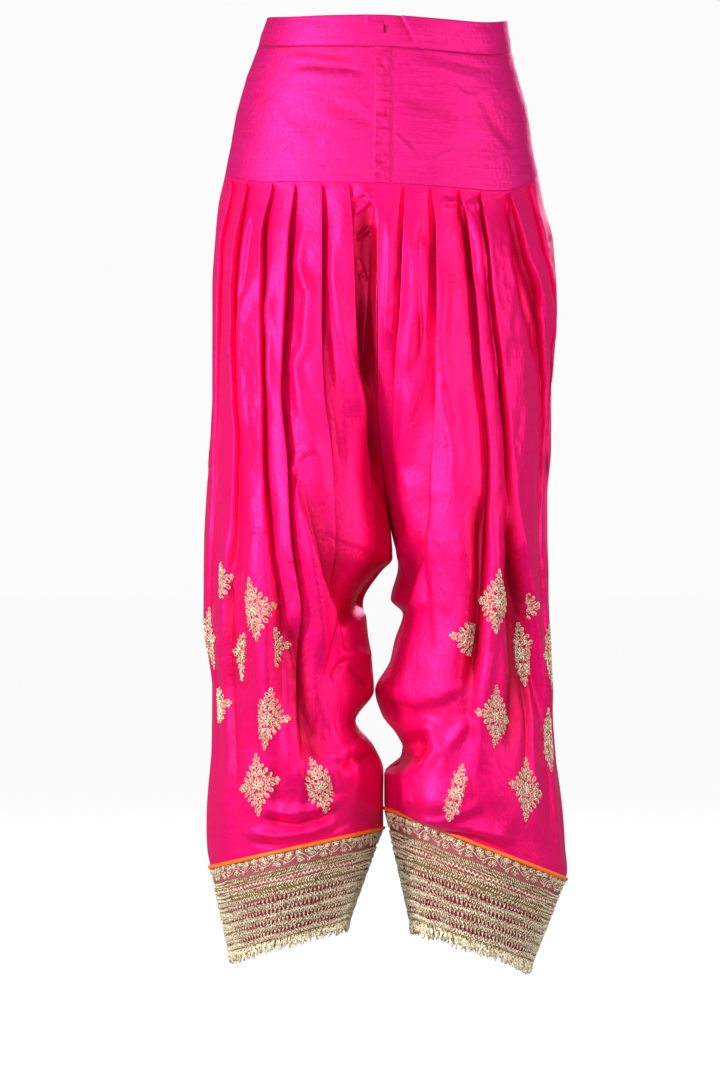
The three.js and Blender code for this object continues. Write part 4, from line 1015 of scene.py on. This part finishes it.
def on_panel(grid, normals, centre, turn, local):
    """Lays points given in mm along, up and off the cloth on a leg grid: their row and column
    come from the cloth's lengths through the centre, and the grid is mixed between its knots."""
    flat = np.hypot(grid[..., 0] - centre[0], grid[..., 2] - centre[1])
    row, column = np.unravel_index(np.argmin(flat), flat.shape)
    cos, sin = np.cos(turn), np.sin(turn)
    along = local[:, 0] * cos - local[:, 1] * sin
    up = local[:, 0] * sin + local[:, 1] * cos
    rows_at, columns_at = lengths_along(grid[:, column]), lengths_along(grid[row])
    direction = np.sign(grid[row, -2, 0] - grid[row, 1, 0])
    r = np.interp(rows_at[row] - up, rows_at, np.arange(len(rows_at)))
    c = np.interp(columns_at[column] + direction * along, columns_at, np.arange(len(columns_at)))
    r, c = np.clip(r, 1, grid.shape[0] - 3.001), np.clip(c, 1, grid.shape[1] - 3.001)
    i, j = r.astype(int), c.astype(int)
    place = i, j, (r - i)[:, None], (c - j)[:, None]
    off = unit(between_knots(normals, *place)) * (local[:, 2:] + THREAD_LIFT)
    return between_knots(grid, *place) + off


def zari():
    """Gold thread: bright metal wound on a core. Noise in space lays its own gold colour between a
    near-black painted shade and a cream painted glint.
    """
    material, inputs = new_material("gold_zari_thread", 0.28, 0.4)
    tree = material.node_tree
    place = tree.nodes.new("ShaderNodeTexCoord").outputs["Object"]
    noise = node(tree, "TexNoise", "Fac", {"Vector": place, "Scale": 560, "Detail": 2})
    tree.links.new(ramp(tree, noise, ZARI_SHADE_AND_GLINTS), inputs["Base Color"])
    return material


zari_thread = zari()
sprig, sprig_faces = buta()
for (side, face), places in BUTAS.items():
    grid, normals = panels[side, face]
    shapes = []
    for x, z, turn, part in places:
        shown, shown_faces = kept(sprig, sprig_faces, part)
        shapes.append((on_panel(grid, normals, (x, z), np.radians(turn), shown), shown_faces))
    piece = make_object(f"buta_{face}_{SIDE_WORD[side]}", *gather(shapes), zari_thread)
    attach(piece, "root")

# Stitching: two rows of pink thread hold the placket down, drawn darker than the silk as painted
# shade of their dents. The drawstring's slit in the waistband is a dark upright tube, its painted
# shadow, overcast on both sides.
PLACKET_ROWS = (-8.6, 6.4)
SLIT = (0.2, -3.6, 8.0)  # x, middle z, height
# Painted shade: the pink thread is darker than the silk and stands for the shade in the dents the
# stitches pull in.
STITCH_PINK_AND_DENT_SHADE = (0.42, 0.0, 0.07)


def on_front(local):
    """Lays points given as x, z and mm off the cloth on the front of the waistband and yoke."""
    x, z = local[:, 0], local[:, 1]
    halves = {}
    for side in (RIGHT, LEFT):
        u = share_at(side, np.abs(x), z)
        halves[side] = body(side, u, z) + outwards(side, u, z) * local[:, 2:]
    return np.where((x < 0)[:, None], halves[RIGHT], halves[LEFT])


rows_at = np.arange(-26, -158, -3.2)
running = [scatter(stitch(2.3, 0.6), np.stack([np.full(len(rows_at), x), rows_at], -1),
                   np.pi / 2) for x in PLACKET_ROWS]
over_at = np.arange(SLIT[1] - SLIT[2] / 2, SLIT[1] + SLIT[2] / 2 + 0.1, 1.0)
overcast = [scatter(stitch(1.5, 0.5), np.stack([np.full(len(over_at), SLIT[0] + x), over_at],
                                               -1), 0.0) for x in (-1.0, 1.0)]
sewn, sewn_faces = gather(running + overcast)
sewn[:, 2] += 1.0
sewing = make_object("placket_stitches", on_front(sewn), sewn_faces,
                     plain_material("pink_thread_with_dent_shade", STITCH_PINK_AND_DENT_SHADE, 0.6))
# Painted shadow: a dark upright tube stands where the slit opens, in place of a cut.
slot, slot_faces = scatter(stitch(SLIT[2], 1.0, 0.3), [SLIT[:2]], np.pi / 2)
slot[:, 2] += 0.6
slit_shadow_piece = make_object("drawstring_slit_shadow", on_front(slot), slot_faces,
                      plain_material("slit_shadow", (0.05, 0.0, 0.01), 0.9))
for piece in (sewing, slit_shadow_piece):
    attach(piece, "root")

# Cuffs: stiff cones of gold border cloth. A flowering vine runs under the piping, then slanted
# cord, a zigzag and a braid, and four open rows of crossed threads between braided loops.
BORDER_LENGTH, BORDER_HEIGHT = 560, 98
CONE_ROWS, CONE_COLUMNS = 27, 171
CONE_WALL = 1.4
PIPING_HEIGHT = 4.4
VINE = (0.012, 0.17)
CORD_ROWS = (0.195, 0.228)
ZIGZAG = (0.262, 0.328)
BRAID_ROWS = (0.356, 0.394)
LOOP_ROW = 0.448
OPEN_ROWS = (0.510, 0.635, 0.760, 0.885)
OPEN_HALF = 0.031
CUFF_DENTS = {RIGHT: [(0.16, 0.012, 0.0)], LEFT: [(0.148, 0.018, -4.0), (0.19, 0.03, 1.5)]}
BORDER_TAN = (0.34, 0.16, 0.06)
BORDER_PINK = (0.52, 0.10, 0.15)
# Painted shade: the pink lining as seen in shadow through the open rows, whose holes are not cut.
OPEN_ROW_LINING_SHADE = (0.28, 0.0, 0.045)
BORDER_RELIEF = (0.5, 0.0004)  # strength, and depth in m
SPECKLE = (1 / 0.42, 1 / 0.06)  # cells along (mm) and down (1000ths of the height)


def cuff_points(side, u, v, out, drop=3.6):
    """Points of the cone: straight lines from the seam's oval to the lower edge's oval, dented
    by bells across u, with slack waves of sines of u that grow towards the lower edge."""
    top = slanting_seam(CUFF_TOP[side], u)
    bottom = slanting_seam(CUFF_BOTTOM[side], u)
    start, end = body(side, u, top), body(side, u, bottom)
    share = (drop + v * (top - bottom - drop)) / (top - bottom)
    points = start + (end - start) * share[..., None]
    slack = 0.9 * np.sin(10 * np.pi * u + 1.3 * side) + 0.7 * np.sin(22 * np.pi * u)
    for middle, width, depth in CUFF_DENTS[side]:
        slack = slack + depth * np.exp(-((u - middle) / width) ** 2)
    out = out + slack * np.clip(share, 0, 1) ** 0.7
    return points + outwards(side, u, points[..., 2]) * np.asarray(out)[..., None]


def cuff_shares(side, along):
    """Shares u of the way round for lengths along the cuff, as parts of its whole girth."""
    u = np.linspace(0, 1, 721)
    line = cuff_points(side, u, 0 * u + 0.5, 0 * u)
    length = lengths_along(line)
    return np.interp((along / BORDER_LENGTH) % 1.0, length / length[-1], u)


def on_cuff(side, local):
    """Lays points given in mm along, down and off the border on the cone."""
    v = local[:, 1] / BORDER_HEIGHT
    return cuff_points(side, cuff_shares(side, local[:, 0]), v, local[:, 2])


def even(pitch):
    """Places along the border at the whole pitch nearest the one given."""
    count = round(BORDER_LENGTH / pitch)
    return np.arange(count) * BORDER_LENGTH / count


def row_of(template, pitch, down, turn, shift=0.0, scale=1.0, seed=0):
    """A row of copies at one height, each turned and placed with a little chance."""
    at = even(pitch) + shift
    draw = np.random.default_rng(seed)
    waver = 0.5 * np.sin(2 * np.pi * at * 9 / BORDER_LENGTH + 40 * down)
    places = np.stack([at + draw.normal(0, 0.14, len(at)),
                       down * BORDER_HEIGHT + waver + draw.normal(0, 0.2, len(at))], -1)
    return scatter(template, places, turn + draw.normal(0, 0.08, len(at)), scale)


def border_threads():
    """All the raised threads of one border in mm along, down and off the cloth."""
    short, long = stitch(3.3, 1.15), stitch(4.6, 1.1)
    loop = leaf_loop(4.9, 3.2, 1.05, 6)
    petal = leaf_loop(4.2, 2.6, 1.1, 6)
    shapes = [row_of(petal, 9.0, 0.028 + 0.006 * abs(i), np.pi / 2 + 0.8 * i, 1.7 * i, 1.1,
                     50 + i) for i in (-1, 0, 1)]
    period = BORDER_LENGTH / 24
    middle = sum(VINE) / 2 * BORDER_HEIGHT
    stem_at = even(2.6)
    stem_down = middle + 3.2 * np.sin(2 * np.pi * stem_at / period)
    slope = 3.2 * 2 * np.pi / period * np.cos(2 * np.pi * stem_at / period)
    shapes.append(scatter(stitch(3.4, 1.1), np.stack([stem_at, stem_down], -1),
                          np.arctan(slope)))
    for hand in (-1, 1):
        centres = even(period) + period * (0.25 if hand < 0 else 0.75)
        for k in range(5):
            angle = 2 * np.pi * k / 5 + 0.3
            places = np.stack([centres + 2.1 * np.cos(angle),
                               middle + hand * 2.0 + 2.1 * np.sin(angle) + 0 * centres], -1)
            shapes.append(scatter(petal, places, angle, 0.85))
        for shift, turn in ((0.06, 0.9), (0.44, -0.9)):
            places = np.stack([centres + period * shift * 2 - period * 0.25,
                               np.full(len(centres), middle + hand * 4.4)], -1)
            shapes.append(scatter(petal, places, turn * hand, 0.9))
    shapes += [row_of(short, 2.5, down, 0.95, n, 1.0, 60 + n)
               for n, down in enumerate(CORD_ROWS)]
    for n, turn in enumerate((0.95, -0.95)):
        shapes.append(row_of(long, 4.2, sum(ZIGZAG) / 2, turn, 2.1 * n, 1.15, 62 + n))
        shapes.append(row_of(stitch(4.0, 1.1), 3.9, (ZIGZAG[0] - 0.004, ZIGZAG[1] + 0.006)[n],
                             0.3, 0, 1.0, 64 + n))
    shapes += [row_of(stitch(4.0, 1.35), 3.0, down, (0.95, -0.95)[n], 0, 1.0, 66 + n)
               for n, down in enumerate(BRAID_ROWS)]
    shapes += [row_of(loop, 4.5, LOOP_ROW, 1.25, 0, 1.0, 68),
               row_of(stitch(3.6, 1.1), 4.5, LOOP_ROW, -1.2, 2.25, 1.0, 69)]
    lower = list(OPEN_ROWS[1:]) + [0.995]
    for n, (level, after) in enumerate(zip(OPEN_ROWS, lower)):
        for k, turn in enumerate((1.3, -1.3)):
            shapes.append(row_of(stitch(6.4, 0.9), 4.9, level, turn, 0.5 + 1.1 * k, 1.0,
                                 70 + 10 * n + k))
        first = level + OPEN_HALF + 0.019
        second = min(after - OPEN_HALF - 0.019, first + 0.041)
        shapes += [row_of(loop, 4.5, first, 1.3, 0.6 * n, 1.0, 72 + 10 * n),
                   row_of(loop, 4.5, second, -1.3, 0.6 * n + 2.25, 1.0, 73 + 10 * n),
                   row_of(stitch(3.4, 1.1), 4.5, (first + second) / 2, 1.0, 0.9, 1.0,
                          74 + 10 * n)]
    return gather(shapes)


def border_cloth():
    """The woven ground of the border by its height: tan, pink under the vine and the zigzag,
    and dark pink in the open rows, painted shade of the lining behind holes that are not cut; all
    speckled along the thread."""
    material, _ = new_material("gold_border_ground", 0.55, 0.15)
    tree = material.node_tree
    cloth = node(tree, "UVMap", "UV", {}, uv_map="cloth")
    height = node(tree, "SeparateXYZ", "Y", {"Vector": cloth})
    bands = [(0.0, BORDER_TAN), (VINE[0], BORDER_PINK), (VINE[1], BORDER_TAN),
             (ZIGZAG[0], BORDER_PINK), (ZIGZAG[1], BORDER_TAN)]
    for level in OPEN_ROWS:
        bands += [(level - OPEN_HALF, OPEN_ROW_LINING_SHADE), (level + OPEN_HALF, BORDER_TAN)]
    ground = ramp(tree, height, bands, "CONSTANT")
    speckle = stretched_noise(tree, *SPECKLE, 3)
    tone = ramp(tree, speckle, [(0.35, (0.45, 0.35, 0.32)), (0.65, (1, 1, 1))])
    surface(material, multiplied(tree, ground, tone), speckle, *BORDER_RELIEF)
    return material


gold_ground = border_cloth()
cuff_pieces = {}
threads, thread_faces = border_threads()
for side in (RIGHT, LEFT):
    word = SIDE_WORD[side]
    u, v = np.meshgrid(np.linspace(0, 1, CONE_COLUMNS), np.linspace(0, 1, CONE_ROWS))
    points = cuff_points(side, u, v, -0.2 + 0 * v)
    uv = np.stack([u * BORDER_LENGTH * MM, v], -1).reshape(-1, 2)
    cone = make_object(f"cuff_{word}_border", points.reshape(-1, 3),
                       grid_quads(CONE_ROWS, CONE_COLUMNS, side < 0), gold_ground, uv)
    thicken(cone, CONE_WALL, True)
    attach(cone, "root")
    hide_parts(f"cuff_{word}")
    raised = make_object(f"cuff_{word}_threads", on_cuff(side, threads), thread_faces,
                         zari_thread)
    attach(raised, "root")
    cuff_pieces[side] = [cone, raised]

# Piping: a bias strip of orange satin folded over a twisted cord and caught in the seam
# between the leg and its cuff. The cord's lay shows through as slanting ridges.
PIPING_COLOUR = (1.0, 0.19, 0.006)
PIPING_SHADE = (0.92, 0.12, 0.004)
PIPING_WALL = 0.8
PIPING_RELIEF = (0.25, 0.0005)
PIPING_COLUMNS = 240


def piping_satin():
    """Orange satin with slanting ridges along the cord's length."""
    material, _ = new_material("orange_piping_satin", 0.42)
    tree = material.node_tree
    cloth = node(tree, "UVMap", "UV", {}, uv_map="cloth")
    lay = node(tree, "Mapping", "Vector", {"Vector": cloth, "Rotation": (0, 0, 0.6)})
    wave = node(tree, "TexWave", "Fac", {"Vector": lay, "Scale": 110, "Distortion": 1.2})
    colour = ramp(tree, wave, [(0, PIPING_SHADE), (0.5, PIPING_COLOUR)])
    surface(material, colour, wave, *PIPING_RELIEF)
    return material


orange_satin = piping_satin()
for side in (RIGHT, LEFT):
    word = SIDE_WORD[side]
    angle = np.linspace(-0.6 * np.pi, 0.6 * np.pi, 9)[:, None]
    u = np.broadcast_to(np.linspace(0, 1, PIPING_COLUMNS + 1)[:-1], (9, PIPING_COLUMNS))
    drop = PIPING_HEIGHT / 2 * (1 + np.sin(angle)) - 0.5 + 0 * u
    bulge = 0.4 + 2.5 * np.cos(angle) + 0 * u
    cord = sheet_grid(f"piping_{word}_cord", cuff_points(side, u, 0 * u, bulge, drop),
                      orange_satin, turned=side < 0, closed=True, wall=PIPING_WALL)
    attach(cord, "root")
    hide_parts(f"piping_{word}")
    cuff_pieces[side].append(cord)

# Fringe: gold thread loops of uneven length, sewn to a narrow strip that is caught inside the
# lower edge of the cuff.
FRINGE_CURLS = 340
FRINGE_LENGTH = (5.5, 12.5)


def fringe_curls(seed):
    """Curls hanging as narrow loops: with s from 0 to 1 the thread goes down by length times
    sin(pi s)^0.8 and across by width (s - 1/2), bent by sines with chance phases."""
    draw = np.random.default_rng(seed)
    count = FRINGE_CURLS
    at = (np.arange(count) + draw.uniform(-0.5, 0.5, count)) * BORDER_LENGTH / count
    s = np.linspace(0.02, 0.92, 9)[None, :]
    length = draw.uniform(*FRINGE_LENGTH, (count, 1))
    width, lean = draw.uniform(0.8, 4.2, (count, 1)), draw.normal(0, 2.4, (count, 1))
    phase, sway = draw.uniform(0, 6.3, (count, 1)), draw.uniform(0.3, 1.4, (count, 1))
    out = draw.normal(0.2, 1.3, (count, 1))
    down = np.sin(np.pi * s) ** 0.8
    path = np.stack([at[:, None] + width * (s - 0.5) + (lean + sway * np.sin(7 * s + phase)) * down,
                     BORDER_HEIGHT - 3.5 + (length + 3.5) * down,
                     0.2 + (out + sway * np.cos(6 * s + phase)) * down], -1)
    return tube(path, draw.uniform(0.5, 0.85, (count, 1)), 4, False)


for side in (RIGHT, LEFT):
    word = SIDE_WORD[side]
    curls, curl_faces = fringe_curls(90 + side)
    fringe = make_object(f"fringe_{word}_curls", on_cuff(side, curls), curl_faces, zari_thread)
    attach(fringe, "root")
    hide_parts(f"fringe_{word}")
    cuff_pieces[side].append(fringe)
    cone = cuff_pieces[side][0]
